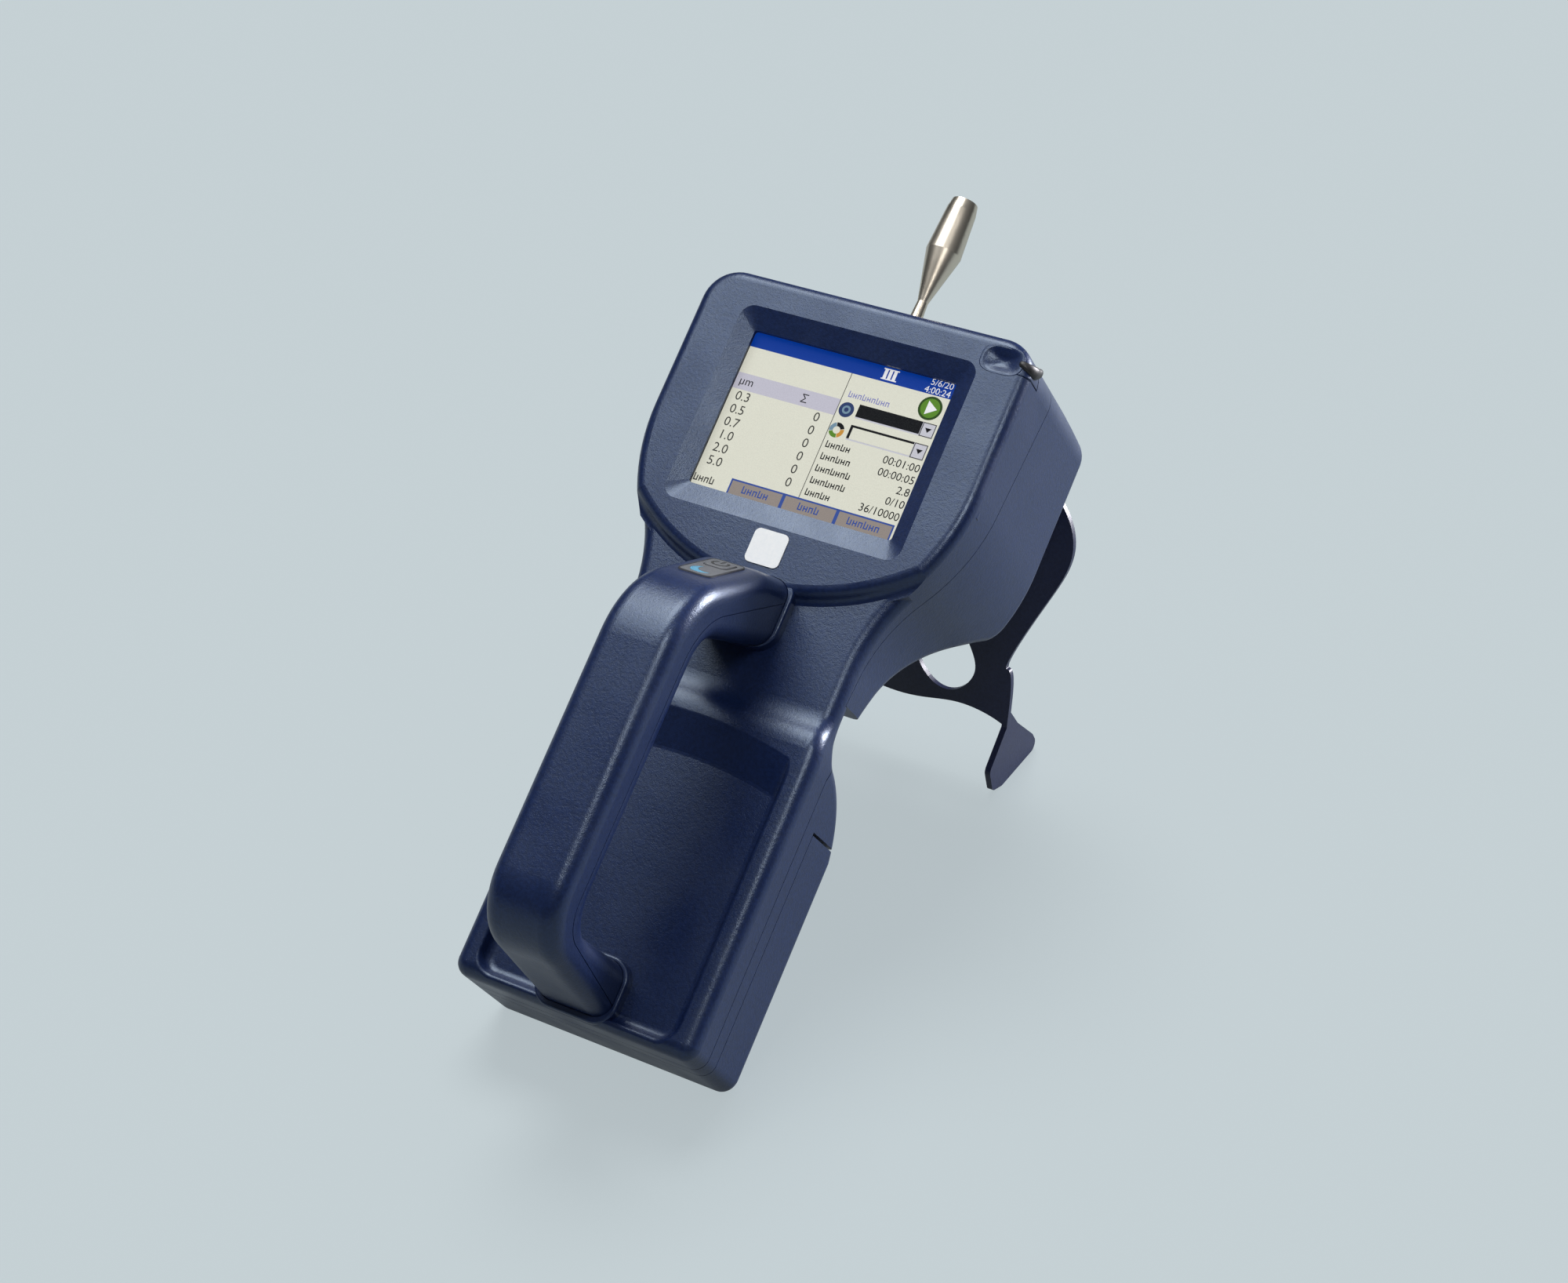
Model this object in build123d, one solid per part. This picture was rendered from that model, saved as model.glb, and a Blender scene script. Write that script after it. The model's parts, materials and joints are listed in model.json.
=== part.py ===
from build123d import *
import math
import os

# Handheld airborne particle counter, modelled in its own upright frame and then laid back
# on its heel and its tilt stand.  Upright frame: X to the right, Y to the back, Z up the
# instrument, Y = 0 on the front rim of the head.  All sizes are millimetres.

# ---------------------------------------------------------------- housing
wall = 2.5
head_front_wall = 5.0
head_half_width = 61.5
head_top = 253.4
head_depth = 74.0
head_top_radius = 12.5
rear_top_drop = 5.8
head_rear_radius = 6.0
head_heel_radius = 10.0
fall_start = 200.0
fall_end = 133.0
fall_inflection = 0.54
neck_half_width = 43.0
neck_back = 15.0
base_half_width = 45.0
base_depth = 45.0
base_flare_start = 118.0
base_flare_end = 98.0
base_corner_radius = 5.0
front_bottom = 0.0
rear_bottom = -3.0
heel_radius = 6.0
face_setback = 4.5
saddle_foot = 104.0
saddle_rise = 14.0
saddle_top = saddle_foot + saddle_rise
front_edge_radius = 5.0
back_edge_radius = 3.5
shoulder_low = 79.0
shoulder_mid = (33.0, 96.5)
shoulder_top = 106.0
arch_centre = (118.2, 83.2)
arch_radius = 101.0
tongue_end = 123.0
neck_throat_radius = 6.0

# ---------------------------------------------------------------- face of the head
rim_sweep_radius = 82.0
rim_low = 149.0
rim_depth = 12.0
rim_edge_radius = 4.0
rim_sweep_half = 3.5
rim_root_sink = 0.2
screen_half_width = 38.0
screen_low = 177.4
screen_high = 234.4
bezel_flare_x = 6.2
bezel_flare_z = 7.5
bezel_depth = 3.0
bezel_corner_radius = 5.0
window_corner_radius = 1.0
bezel_lip = 0.8
badge_size = (12.5, 12.0)
badge_radius = 2.0
badge_height = 162.4
badge_thickness = 1.4
badge_sink = 1.0
badge_gap = 0.1

# ---------------------------------------------------------------- seams
seam_gap = 0.3
seam_top_y = 28.0
seam_tongue_y = 9.5
base_seam_y = 13.5
base_seam_top = 107.0
base_seam_lean = 8.0
door_front_y = 20.8
door_top = 82.0
door_slot = 1.0

# ---------------------------------------------------------------- pan
pan_half_width = 37.4
pan_low = 2.6
pan_high = 103.7
pan_crown = 4.6
pan_depth = 4.5
pan_corner_radius = 7.0
pan_draft = 20.0
pan_ramp_run = 13.0
pan_rim_radius = 1.2
pan_floor_radius = 3.0

# ---------------------------------------------------------------- handle
grip_outer = -59.5
grip_inner = -40.5
handle_half_width = 13.5
handle_edge_radius = 6.0
handle_wall = 3.0
handle_bend_top = 32.0
handle_bend_foot = 22.0
handle_inner_bend = 12.0
arm_top_root = 154.8
arm_knee_y = -17.4
arm_knee_z = 150.0
arm_top_slope = 0.558
arm_knee_radius = 15.0
arm_under_root = 131.5
arm_under_slope = 0.30
foot_arm_low_root = 1.6
foot_arm_high_root = 20.6
foot_arm_slope = -0.155
foot_arm_high_slope = -0.02
handle_seam_y = -48.0
handle_seam_top_root = 149.0
handle_seam_top_slope = 0.517
handle_seam_foot_root = 6.5
handle_seam_foot_slope = -0.244
handle_seam_top_bend = 24.0
handle_seam_foot_bend = 12.0
handle_seam_gap = 0.25
collar_rise = 4.2
collar_lip = 1.4
collar_gap = 0.2
collar_corner_radius = 6.0
collar_edge_radius = 0.9

# ---------------------------------------------------------------- power switch
pad_width = 12.5
pad_length = 24.5
pad_corner_radius = 2.4
pad_sink = 0.8
pad_proud = 0.4
pad_centre_y = -29.9
button_width = 8.4
button_length = 8.8
button_corner_radius = 1.8
button_along = 5.4
button_proud = 0.9
button_travel = 0.7
button_clearance = 0.25
button_flange = 0.7
button_flange_thickness = 0.9
button_stem_radius = 1.3
button_stem_end = 4.2
lens_radius = 4.0
lens_bite_radius = 4.0
lens_bite_shift = 1.9
lens_along = -5.8
pad_window_half_width = 5.2
switch_board_depth = 6.2
switch_board_thickness = 1.4
switch_board_half_width = 8.5
switch_board_half_length = 12.0
switch_side = 5.0
switch_rest_gap = 0.05
switch_post_radius = 1.4
switch_post_x = 7.0
switch_post_y = 10.2
pad_ledge = 1.6
panel_gap = 0.1
button_crown_radius = 0.5

# ---------------------------------------------------------------- inlet probe
probe_y = 34.5
probe_stem_radius = 1.9
probe_body_radius = 6.35
probe_nose_radius = 5.3
probe_mouth_radius = 4.6
probe_bore_radius = 4.2
probe_stem_bore = 1.2
probe_tip = 309.5
probe_nose = 306.0
probe_shoulder = 289.5
probe_cone_foot = 270.5
probe_stem_foot = 2.3
probe_spigot_end = 252.0
probe_bore_end = 295.0
probe_bore_cone_end = 272.0
fitting_seat = 253.8
fitting_seat_radius = 7.6
fitting_radius = 3.6
fitting_flange_radius = 6.5
fitting_flange_thickness = 3.0
fitting_neck_radius = 4.3
fitting_top = 263.0
fitting_end = 233.0
fitting_clearance = 0.15
spigot_clearance = 0.05
o_ring_section = 0.85
o_ring_height = 236.2

# ---------------------------------------------------------------- stylus
cap_width = 5.4
cap_inner_x = head_half_width - cap_width
stylus_y = 6.6
stylus_radius = 1.8
stylus_x = cap_inner_x + stylus_radius
stylus_length = 48.0
stylus_clearance = 0.3
stylus_cap_low = 241.6
stylus_tube_wall = 1.4
stylus_tip_length = 6.0
stylus_tip_radius = 0.8
cap_depth = 10.6
cap_front = 1.0
cap_proud = 1.0
cap_edge_radius = 0.8
scoop_reach = 7.6
scoop_x = cap_inner_x - scoop_reach
scoop_height = 245.0
scoop_lift = 1.4
scoop_radius = 4.6

# ---------------------------------------------------------------- tilt stand
recline = 51.0
hinge_standoff = 5.5
hinge_y = head_depth + hinge_standoff
hinge_z = 236.0
hinge_pin_radius = 2.0
hinge_pin_clearance = 0.08
knuckle_radius = 3.9
knuckle_length = 14.0
lug_length = 6.0
hinge_inner_x = 26.0
hinge_side_gap = 0.3
stand_angle = 42.1
stand_thickness = 2.2
stand_top = 5.0
stand_length = 98.0
stand_top_inset = 7.5
stand_top_half_width = head_half_width - stand_top_inset
stand_overhang = 0.5
stand_shoulder = (head_half_width + stand_overhang, 21.0)
stand_flank = (54.0, 46.6)
stand_waist = (42.2, 75.0)
stand_foot_x = 45.0
stand_hem = (25.0, 93.8)
stand_hem_middle = 97.0
stand_hole = [
    (12.0, 87.3), (24.0, 88.6), (30.0, 80.0), (25.0, 66.5), (15.5, 54.0), (7.5, 61.0), (6.2, 77.0),
]
foot_top = 88.0
foot_gusset = 92.5
foot_back = [(152.6, 167.6), (171.4, 169.6)]
foot_heel_y = 180.4
foot_toe_y = 161.8
foot_front = [(155.2, 141.2), (145.4, 145.2)]
foot_back_bend = 9.0
foot_corner_radius = 3.0

# ---------------------------------------------------------------- inside the head
screw_inset = 11.5
screw_x = head_half_width - screw_inset
screw_heights = (190.0, 234.0)
screw_radius = 1.5
screw_clearance = 0.1
screw_head_radius = 2.8
screw_head_height = 2.4
screw_head_y = 30.0
screw_end_y = 7.5
boss_radius = 4.2
boss_bore = 3.1
screen_glass_margin = 4.0
gasket_thickness = 0.6
glass_thickness = 1.2
glass_side_gap = 0.3
lcd_gap = 0.3
lcd_thickness = 4.0
board_y = 13.0
board_thickness = 1.6
board_inset = 7.0
board_half_width = head_half_width - board_inset
board_low = 184.0
board_high = 240.0
board_corner_radius = 3.0
chip_sizes = [
    (-24.0, 202.0, 16.0, 16.0, 1.6),
    (12.0, 226.0, 20.0, 10.0, 2.2),
    (22.0, 198.0, 12.0, 9.0, 3.0),
]
chassis_y = 20.0
chassis_thickness = 1.5
chassis_low = 174.0
chassis_hole_radius = 2.0
spacer_radius = 3.6
optics_half_width = 18.0
optics_depth = 27.5
optics_low = 206.0
optics_high = 238.0
laser_radius = 5.0
laser_length = 24.0
laser_height = 217.0
laser_cap_radius = 6.2
laser_cap_length = 5.0
trap_radius = 6.0
trap_length = 12.0
detector_half_width = 15.0
detector_thickness = 1.6
detector_can = 3.5
pump_y = 35.5
pump_z = 190.0
pump_radius = 14.0
pump_inset = 16.5
pump_length = 16.0
pump_outer_x = pump_inset - head_half_width
pump_face_x = pump_outer_x + pump_length
pump_wall = 2.0
impeller_radius = 11.0
impeller_length = 8.0
impeller_hub_radius = 3.0
impeller_blades = 8
impeller_blade_thickness = 1.6
motor_radius = 11.0
motor_length = 25.0
motor_shaft_radius = 1.5
motor_bore = 20.0
shaft_clearance = 0.05
shaft_end_gap = 0.3
motor_foot_half_width = 8.0
filter_radius = 11.0
filter_x0 = 6.0
filter_x1 = 38.0
filter_cap_radius = 12.5
filter_cap_length = 3.0
tube_radius = 2.6
tube_bore = 1.6
tube_bend = 6.0
nipple_radius = 2.6
nipple_length = 2.5
pump_tube_inset = 7.0
pump_tube_x = pump_outer_x + pump_tube_inset
pump_tube_y = 44.0
pump_tube_z = 212.0
transfer_y = 60.0
transfer_x = 13.0
exhaust_x = 28.0

# ---------------------------------------------------------------- inside the base
tray_thickness = 2.2
tray_top = 96.0
rail_thickness = 2.0
rail_depth = 3.0
rail_low = 8.0
rail_high = 74.0
door_clearance = 0.3
battery_half_width = 38.0
battery_gap = 1.5
battery_depth = base_depth - wall - battery_gap - door_front_y + door_clearance
battery_low = 2.0
battery_high = 73.0
battery_cells = 4
battery_dip = 3.0
contact_half_width = 12.0
contact_depth = 6.0
contact_height = 6.0

# ---------------------------------------------------------------- handle screws
handle_screw_radius = 2.0
handle_screw_head_radius = 3.6
handle_screw_head_height = 2.4
handle_screw_length = 14.0
handle_screw_top = 140.5
handle_screw_foot = 14.0
handle_boss_radius = 4.2


def front_prism(sketch, y0, y1):
    """A sketch drawn in (x, z), carried from y0 back to y1."""
    plane = Plane((0, y1, 0), x_dir=(1, 0, 0), z_dir=(0, -1, 0))
    return extrude(plane * sketch, y1 - y0)


def side_prism(sketch, x0, x1):
    """A sketch drawn in (y, z), carried from x0 to x1."""
    plane = Plane((x0, 0, 0), x_dir=(0, 1, 0), z_dir=(1, 0, 0))
    return extrude(plane * sketch, x1 - x0)


def polygon(*points):
    """A flat face with straight sides."""
    return make_face(Polyline(*points, close=True))


def block(x0, x1, y0, y1, z0, z1):
    """A box given by its corners."""
    centre = Pos((x0 + x1) / 2, (y0 + y1) / 2, (z0 + z1) / 2)
    return centre * Box(x1 - x0, y1 - y0, z1 - z0)


def rod(start, direction, radius, length):
    """A cylinder that starts at a point and runs along a direction."""
    low = (Align.CENTER, Align.CENTER, Align.MIN)
    return Plane(start, z_dir=direction) * Cylinder(radius, length, align=low)


def s_curve(start, end, share):
    """Two arcs from start to end, both ends square to the horizontal."""
    middle = (start[0] + share * (end[0] - start[0]), start[1] + share * (end[1] - start[1]))
    down = -1 if end[1] < start[1] else 1
    first = TangentArc(start, middle, tangent=(0, down))
    second = TangentArc(middle, end, tangent=first % 1)
    return [first, second]


# ---------------------------------------------------------------- housing form
def front_outline():
    """The instrument seen from the front: head, falling shoulders, neck and base."""
    right = [
        Line((0, head_top), (head_half_width, head_top)),
        Line((head_half_width, head_top), (head_half_width, fall_start)),
        *s_curve((head_half_width, fall_start), (neck_half_width, fall_end), fall_inflection),
        Line((neck_half_width, fall_end), (neck_half_width, base_flare_start)),
        *s_curve((neck_half_width, base_flare_start), (base_half_width, base_flare_end), 0.5),
        Line((base_half_width, base_flare_end), (base_half_width, rear_bottom)),
        Line((base_half_width, rear_bottom), (0, rear_bottom)),
    ]
    half = make_face(right + [Line((0, rear_bottom), (0, head_top))])
    outline = half + mirror(half, about=Plane.YZ)
    return fillet(outline.vertices().group_by(Axis.Y)[-1], head_top_radius)


def arch_height(y):
    """Height of the finger arch under the head at a depth y."""
    return arch_centre[1] + math.sqrt(arch_radius**2 - (y - arch_centre[0]) ** 2)


def arch_depth(z):
    """Depth of the finger arch at a height z."""
    return arch_centre[0] - math.sqrt(arch_radius**2 - (z - arch_centre[1]) ** 2)


def side_outline():
    """The instrument seen from the side, without the pan and the handle."""
    tongue_y = arch_depth(tongue_end)
    arch_top = arch_height(head_depth)
    middle_y = (tongue_y + head_depth) / 2
    edges = [
        Line((face_setback, saddle_top), (face_setback, head_top)),
        Line((face_setback, head_top), (seam_top_y, head_top)),
        Line((seam_top_y, head_top), (head_depth, head_top - rear_top_drop)),
        Line((head_depth, head_top - rear_top_drop), (head_depth, arch_top)),
        ThreePointArc((head_depth, arch_top), (middle_y, arch_height(middle_y)), (tongue_y, tongue_end)),
        Line((tongue_y, tongue_end), (neck_back, tongue_end)),
        Line((neck_back, tongue_end), (neck_back, shoulder_top)),
        ThreePointArc((neck_back, shoulder_top), shoulder_mid, (base_depth, shoulder_low)),
        Line((base_depth, shoulder_low), (base_depth, rear_bottom)),
        Line((base_depth, rear_bottom), (0, front_bottom)),
        Line((0, front_bottom), (0, saddle_foot)),
        *s_curve((0, saddle_foot), (face_setback, saddle_top), 0.5),
    ]
    outline = make_face(edges)
    corners = {
        (head_depth, head_top - rear_top_drop): head_rear_radius,
        (head_depth, arch_top): head_heel_radius,
        (neck_back, shoulder_top): neck_throat_radius,
        (base_depth, rear_bottom): heel_radius,
    }
    for (y, z), radius in corners.items():
        spot = outline.vertices().sort_by_distance((y, z, 0))[0]
        outline = fillet(spot, radius)
    return outline


def housing_block(inset):
    """Head, neck and base as one block, drawn in by an inset for the cavity."""
    front = front_outline()
    side = side_outline()
    if inset > 0:
        front = offset(front, -inset, kind=Kind.INTERSECTION)
        side = offset(side, -inset, kind=Kind.INTERSECTION)
    reach = head_half_width + 1
    return front_prism(front, 0, head_depth) & side_prism(side, -reach, reach)


def outline_edges(body, front, back):
    """Edges that run along the side outline between two depths; level ones stay sharp."""
    found = []
    for edge in body.edges():
        box = edge.bounding_box()
        across = box.size.X > neck_half_width or (box.size.Z < 0.3 and box.size.Y > 0.3)
        if front - 0.01 < box.min.Y and box.max.Y < back + 0.01 and not across:
            found.append(edge)
    return found


def end_edges(body, level):
    """The level front edge at the very top or bottom of the block."""
    found = []
    for edge in body.edges():
        box = edge.bounding_box()
        if box.max.Y < face_setback + 0.01 and abs(box.min.Z - level) + abs(box.max.Z - level) < 0.01:
            found.append(edge)
    return found


def base_edges(body):
    """The two long edges between the bottom and the sides of the base."""
    found = []
    for edge in body.edges():
        box = edge.bounding_box()
        if box.max.Z < front_bottom + 0.01 and box.size.Y > base_depth / 2 and box.size.X < 0.01:
            found.append(edge)
    return found


def rim_sketch():
    """The raised face of the head: the front outline above one wide arc."""
    disc = Pos(0, rim_low + rim_sweep_radius) * Circle(rim_sweep_radius)
    return front_outline() & disc


def rim_disc():
    """A turned disc whose edge sweeps in an S from the raised face down to the neck."""
    crest = rim_sweep_radius - rim_sweep_half
    root = rim_sweep_radius + rim_sweep_half
    sunk = face_setback + rim_root_sink
    profile = make_face([
        Line((0, 0), (0, crest)),
        *s_curve((0, crest), (sunk, root), 0.5),
        Line((sunk, root), (rim_depth, root)),
        Line((rim_depth, root), (rim_depth, 0)),
        Line((rim_depth, 0), (0, 0)),
    ])
    centre = (0, 0, rim_low + rim_sweep_radius)
    plane = Plane(centre, x_dir=(0, 1, 0), z_dir=(1, 0, 0))
    return revolve(plane * profile, Axis(centre, (0, 1, 0)))


def face_rim():
    """The raised face of the head as a solid with rounded outer edges."""
    rim = front_prism(front_outline(), 0, rim_depth)
    rim = fillet(rim.edges().group_by(Axis.Y)[0], rim_edge_radius)
    return rim & rim_disc()


def housing_form():
    """The outer form with its edges rounded and the raised face rim added."""
    body = housing_block(0)
    low_edges = outline_edges(body, neck_back - 0.1, base_depth)
    low_edges = [e for e in low_edges if e.bounding_box().max.Z < tongue_end + 0.01]
    body = fillet(base_edges(body) + low_edges, base_corner_radius)
    level_edges = end_edges(body, front_bottom) + end_edges(body, head_top)
    body = fillet(outline_edges(body, 0, face_setback) + level_edges, front_edge_radius)
    back_edges = outline_edges(body, arch_depth(tongue_end) - 0.1, head_depth)
    back_edges = [e for e in back_edges if e.bounding_box().min.Z > tongue_end - 0.01]
    body = fillet(back_edges, back_edge_radius)
    return body + face_rim()


def housing_cavity():
    """The room inside the walls, with the head's thicker face."""
    room = housing_block(wall)
    face = offset(rim_sketch(), -2 * wall, kind=Kind.INTERSECTION)
    return room + front_prism(face, head_front_wall, rim_depth + wall)


def rear_zone(shift):
    """Everything behind the tilted seam of the head, above the end of the tongue."""
    slope = (seam_top_y - seam_tongue_y) / (head_top - tongue_end)
    high = head_top + 2 * wall
    far = 2 * head_depth
    zone = polygon(
        (seam_tongue_y + shift, tongue_end - seam_gap + shift),
        (seam_tongue_y + shift + slope * (high - tongue_end), high),
        (far, high),
        (far, tongue_end - seam_gap + shift),
    )
    return side_prism(zone, -far, far)


def base_zone(shift):
    """Everything behind the seam of the base, up to the throat of the neck."""
    seam = base_seam_y + shift
    far = 2 * head_depth
    zone = polygon(
        (seam, -far),
        (seam, base_seam_top - shift - base_seam_lean),
        (seam + base_seam_lean / 2, base_seam_top - shift),
        (far, base_seam_top - shift),
        (far, -far),
    )
    return side_prism(zone, -far, far)


# ---------------------------------------------------------------- front shell
def pan_outline():
    """The pan in the front of the base, drawn past its top, which the ramp cuts off."""
    height = pan_high + pan_ramp_run - pan_low
    return Pos(0, pan_low + height / 2) * RectangleRounded(2 * pan_half_width, height, pan_corner_radius)


def pan_ramp():
    """Everything below the long ramp that falls from the crowned crease to the pan's floor."""
    crease_radius = (pan_half_width**2 + pan_crown**2) / (2 * pan_crown)
    crease = Pos(0, pan_high - crease_radius) * Circle(crease_radius)
    ahead = Plane((0, -pan_depth, pan_ramp_run), x_dir=(1, 0, 0), z_dir=(0, -1, 0))
    reach = 3 * math.hypot(pan_depth, pan_ramp_run)
    return extrude(ahead * crease, reach, dir=(0, pan_depth, -pan_ramp_run))


def pan_cut():
    """The pan's room, with walls that lean outwards and rounded floor edges."""
    plane = Plane((0, pan_depth, 0), x_dir=(1, 0, 0), z_dir=(0, -1, 0))
    narrowing = pan_depth * math.tan(math.radians(pan_draft))
    room = extrude(plane * offset(pan_outline(), -narrowing), pan_depth, taper=-pan_draft) & pan_ramp()
    ramp_foot = pan_high - pan_ramp_run - pan_crown
    boxes = [(edge, edge.bounding_box()) for edge in room.edges()]
    corners = [edge for edge, box in boxes if box.min.Z > ramp_foot - 0.1 and box.size.Y > pan_depth - 0.1]
    room = fillet(corners, pan_floor_radius)
    return fillet(room.edges().group_by(Axis.Y)[-1], pan_floor_radius)


def pan_form():
    """The outer form with the pan sunk into its base and the pan's rim rounded."""
    form = housing_form() - pan_cut()
    rim_edges = []
    for edge in form.edges():
        box = edge.bounding_box()
        inside = max(-box.min.X, box.max.X) < pan_half_width + 0.01
        if box.max.Y < 0.01 and inside and box.min.Z > pan_low - 0.01 and box.max.Z < pan_high + 0.01:
            rim_edges.append(edge)
    return fillet(rim_edges, pan_rim_radius)


def screen_rectangle(margin_x, margin_z, radius):
    """The display window's rectangle, grown by a margin."""
    height = screen_high - screen_low
    face = RectangleRounded(2 * (screen_half_width + margin_x), height + 2 * margin_z, radius)
    return Pos(0, screen_low + height / 2) * face


def bezel_cut():
    """The sloping walls round the display and the pocket that holds its glass."""
    front = Plane((0, 0, 0), x_dir=(1, 0, 0), z_dir=(0, -1, 0))
    back = Plane((0, bezel_depth, 0), x_dir=(1, 0, 0), z_dir=(0, -1, 0))
    mouth = front * screen_rectangle(bezel_flare_x, bezel_flare_z, bezel_corner_radius)
    window = back * screen_rectangle(0, 0, window_corner_radius)
    walls = loft([mouth, window])
    through = front_prism(screen_rectangle(0, 0, window_corner_radius), bezel_depth, head_front_wall + wall)
    margin = screen_glass_margin + glass_side_gap
    pocket_sketch = screen_rectangle(margin, margin, window_corner_radius)
    pocket = front_prism(pocket_sketch, bezel_depth + bezel_lip, head_front_wall + wall)
    return walls + through + pocket


def stylus_tube(radius):
    """The upright tube that holds the stylus, or its bore."""
    low = stylus_cap_low - stylus_length - stylus_clearance
    return rod((stylus_x, stylus_y, low), (0, 0, 1), radius, stylus_cap_low - low)


def scoop_cut():
    """The finger scoop that leads to the stylus cap."""
    start = (scoop_x, -scoop_lift, scoop_height)
    trough = rod(start, (1, 0, 0), scoop_radius, cap_inner_x - scoop_x)
    return trough + Pos(*start) * Sphere(scoop_radius)


def cap_notch(margin):
    """The corner that the stylus cap fills, open at the top and the side."""
    return block(cap_inner_x - margin, head_half_width + 4 * wall, -wall, cap_depth + margin,
                 stylus_cap_low - margin, head_top + 2 * wall)


def collar(centre_z, half_height, half_width, margin):
    """A rounded block round the root of a handle arm."""
    outline = RectangleRounded(2 * (half_width + margin), 2 * (half_height + margin),
                               collar_corner_radius + margin)
    return Pos(0, centre_z) * outline


def arm_roots():
    """Centre height, half height and half width of the two handle roots."""
    top_middle = (arm_top_root + arm_under_root) / 2
    foot_middle = (foot_arm_low_root + foot_arm_high_root) / 2
    top = (top_middle, (arm_top_root - arm_under_root) / 2, handle_half_width)
    foot = (foot_middle, (foot_arm_high_root - foot_arm_low_root) / 2, handle_half_width)
    return [top, foot]


def screw_places():
    """The four long screws that hold the head together, as (x, z)."""
    return [(side * screw_x, height) for side in (-1, 1) for height in screw_heights]


def front_shell():
    """Head face, neck and base front in one moulding."""
    tub = front_prism(offset(pan_outline(), wall), wall / 2, pan_depth + wall)
    shell = pan_form() - (housing_cavity() - tub)
    shell = shell - rear_zone(0) - base_zone(0)
    cap_seat = cap_notch(wall) & front_prism(front_outline(), rim_edge_radius, 2 * head_depth)
    cap_seat = cap_seat & block(0, head_half_width, 0, cap_depth + wall, 0, head_top)
    shell = shell + stylus_tube(stylus_radius + stylus_clearance + stylus_tube_wall) + cap_seat
    boss_start = head_front_wall - wall / 2
    for x, z in screw_places():
        shell = shell + rod((x, boss_start, z), (0, 1, 0), boss_radius, board_y - boss_start)
    for middle, half_height, half_width in arm_roots():
        ring = collar(middle, half_height, half_width, collar_gap + collar_lip)
        ring = front_prism(ring, face_setback - collar_rise, face_setback + wall / 2)
        shell = shell + fillet(ring.edges().group_by(Axis.Y)[0], collar_edge_radius)
    shell = shell - handle_round(collar_gap)
    for z in (handle_screw_top, handle_screw_foot):
        shell = shell - rod((0, 0, z), (0, 1, 0), handle_screw_radius + screw_clearance, 2 * neck_back)
    for x, z in screw_places():
        shell = shell - rod((x, screw_end_y, z), (0, 1, 0), screw_radius + screw_clearance, head_depth)
    shell = shell - bezel_cut() - scoop_cut() - cap_notch(stylus_clearance)
    shell = shell - stylus_tube(stylus_radius + stylus_clearance)
    badge = RectangleRounded(badge_size[0] + 2 * badge_gap, badge_size[1] + 2 * badge_gap, badge_radius)
    return shell - front_prism(Pos(0, badge_height) * badge, -wall, badge_sink)


# ---------------------------------------------------------------- handle
def handle_side():
    """The handle seen from the side: two arms and a grip."""
    knee_rise = arm_knee_z + arm_top_slope * (grip_outer - arm_knee_y)
    root = face_setback
    outline = polygon(
        (root, arm_top_root),
        (arm_knee_y, arm_knee_z),
        (grip_outer, knee_rise),
        (grip_outer, foot_arm_low_root + foot_arm_slope * (grip_outer - root)),
        (root, foot_arm_low_root),
        (root, foot_arm_high_root),
        (grip_inner, foot_arm_high_root + foot_arm_high_slope * (grip_inner - root)),
        (grip_inner, arm_under_root + arm_under_slope * (grip_inner - root)),
        (root, arm_under_root),
    )
    bends = [
        (arm_knee_y, arm_knee_z, arm_knee_radius),
        (grip_outer, knee_rise, handle_bend_top),
        (grip_outer, foot_arm_low_root + foot_arm_slope * (grip_outer - root), handle_bend_foot),
        (grip_inner, foot_arm_high_root, handle_inner_bend),
        (grip_inner, arm_under_root + arm_under_slope * (grip_inner - root), handle_inner_bend),
    ]
    for y, z, radius in bends:
        outline = fillet(outline.vertices().sort_by_distance((y, z, 0))[0], radius)
    return outline


def handle_solid(inset):
    """The handle's square-edged section, drawn in by an inset or grown by a negative one."""
    side = offset(handle_side(), -inset, kind=Kind.INTERSECTION) if inset else handle_side()
    reach = handle_half_width - inset
    return side_prism(side, -reach, reach)


def handle_round(margin):
    """The handle's outer form with rounded long edges, grown by a margin."""
    solid = handle_solid(-margin)
    edges = []
    for edge in solid.edges():
        box = edge.bounding_box()
        if box.size.X < handle_half_width and box.min.Y < face_setback - 0.01:
            edges.append(edge)
    return fillet(edges, handle_edge_radius + margin)


def handle_body():
    """The rounded, hollow handle before it is split."""
    return handle_round(0) - handle_solid(handle_wall)


def handle_inner_zone(shift):
    """The side of the handle that faces the instrument, bounded by its seam."""
    far = 2 * wall
    seam = handle_seam_y + shift
    top_root = handle_seam_top_root - shift
    foot_root = handle_seam_foot_root + shift
    top = (seam, top_root + handle_seam_top_slope * (seam - face_setback))
    foot = (seam, foot_root + handle_seam_foot_slope * (seam - face_setback))
    zone = polygon(
        (far, top_root + handle_seam_top_slope * (far - face_setback)), top, foot,
        (far, foot_root + handle_seam_foot_slope * (far - face_setback)),
    )
    zone = fillet(zone.vertices().sort_by_distance((*top, 0))[0], handle_seam_top_bend)
    zone = fillet(zone.vertices().sort_by_distance((*foot, 0))[0], handle_seam_foot_bend)
    return side_prism(zone, -2 * handle_half_width, 2 * handle_half_width)


def pad_plane(height=0.0):
    """The top of the upper arm, where the switch panel lies; local y runs to the head."""
    centre_z = arm_knee_z + arm_top_slope * (pad_centre_y - arm_knee_y)
    slope = math.atan(arm_top_slope)
    normal = Vector(0, -math.sin(slope), math.cos(slope))
    origin = Vector(0, pad_centre_y, centre_z) + normal * height
    return Plane(origin, x_dir=(1, 0, 0), z_dir=normal)


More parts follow.
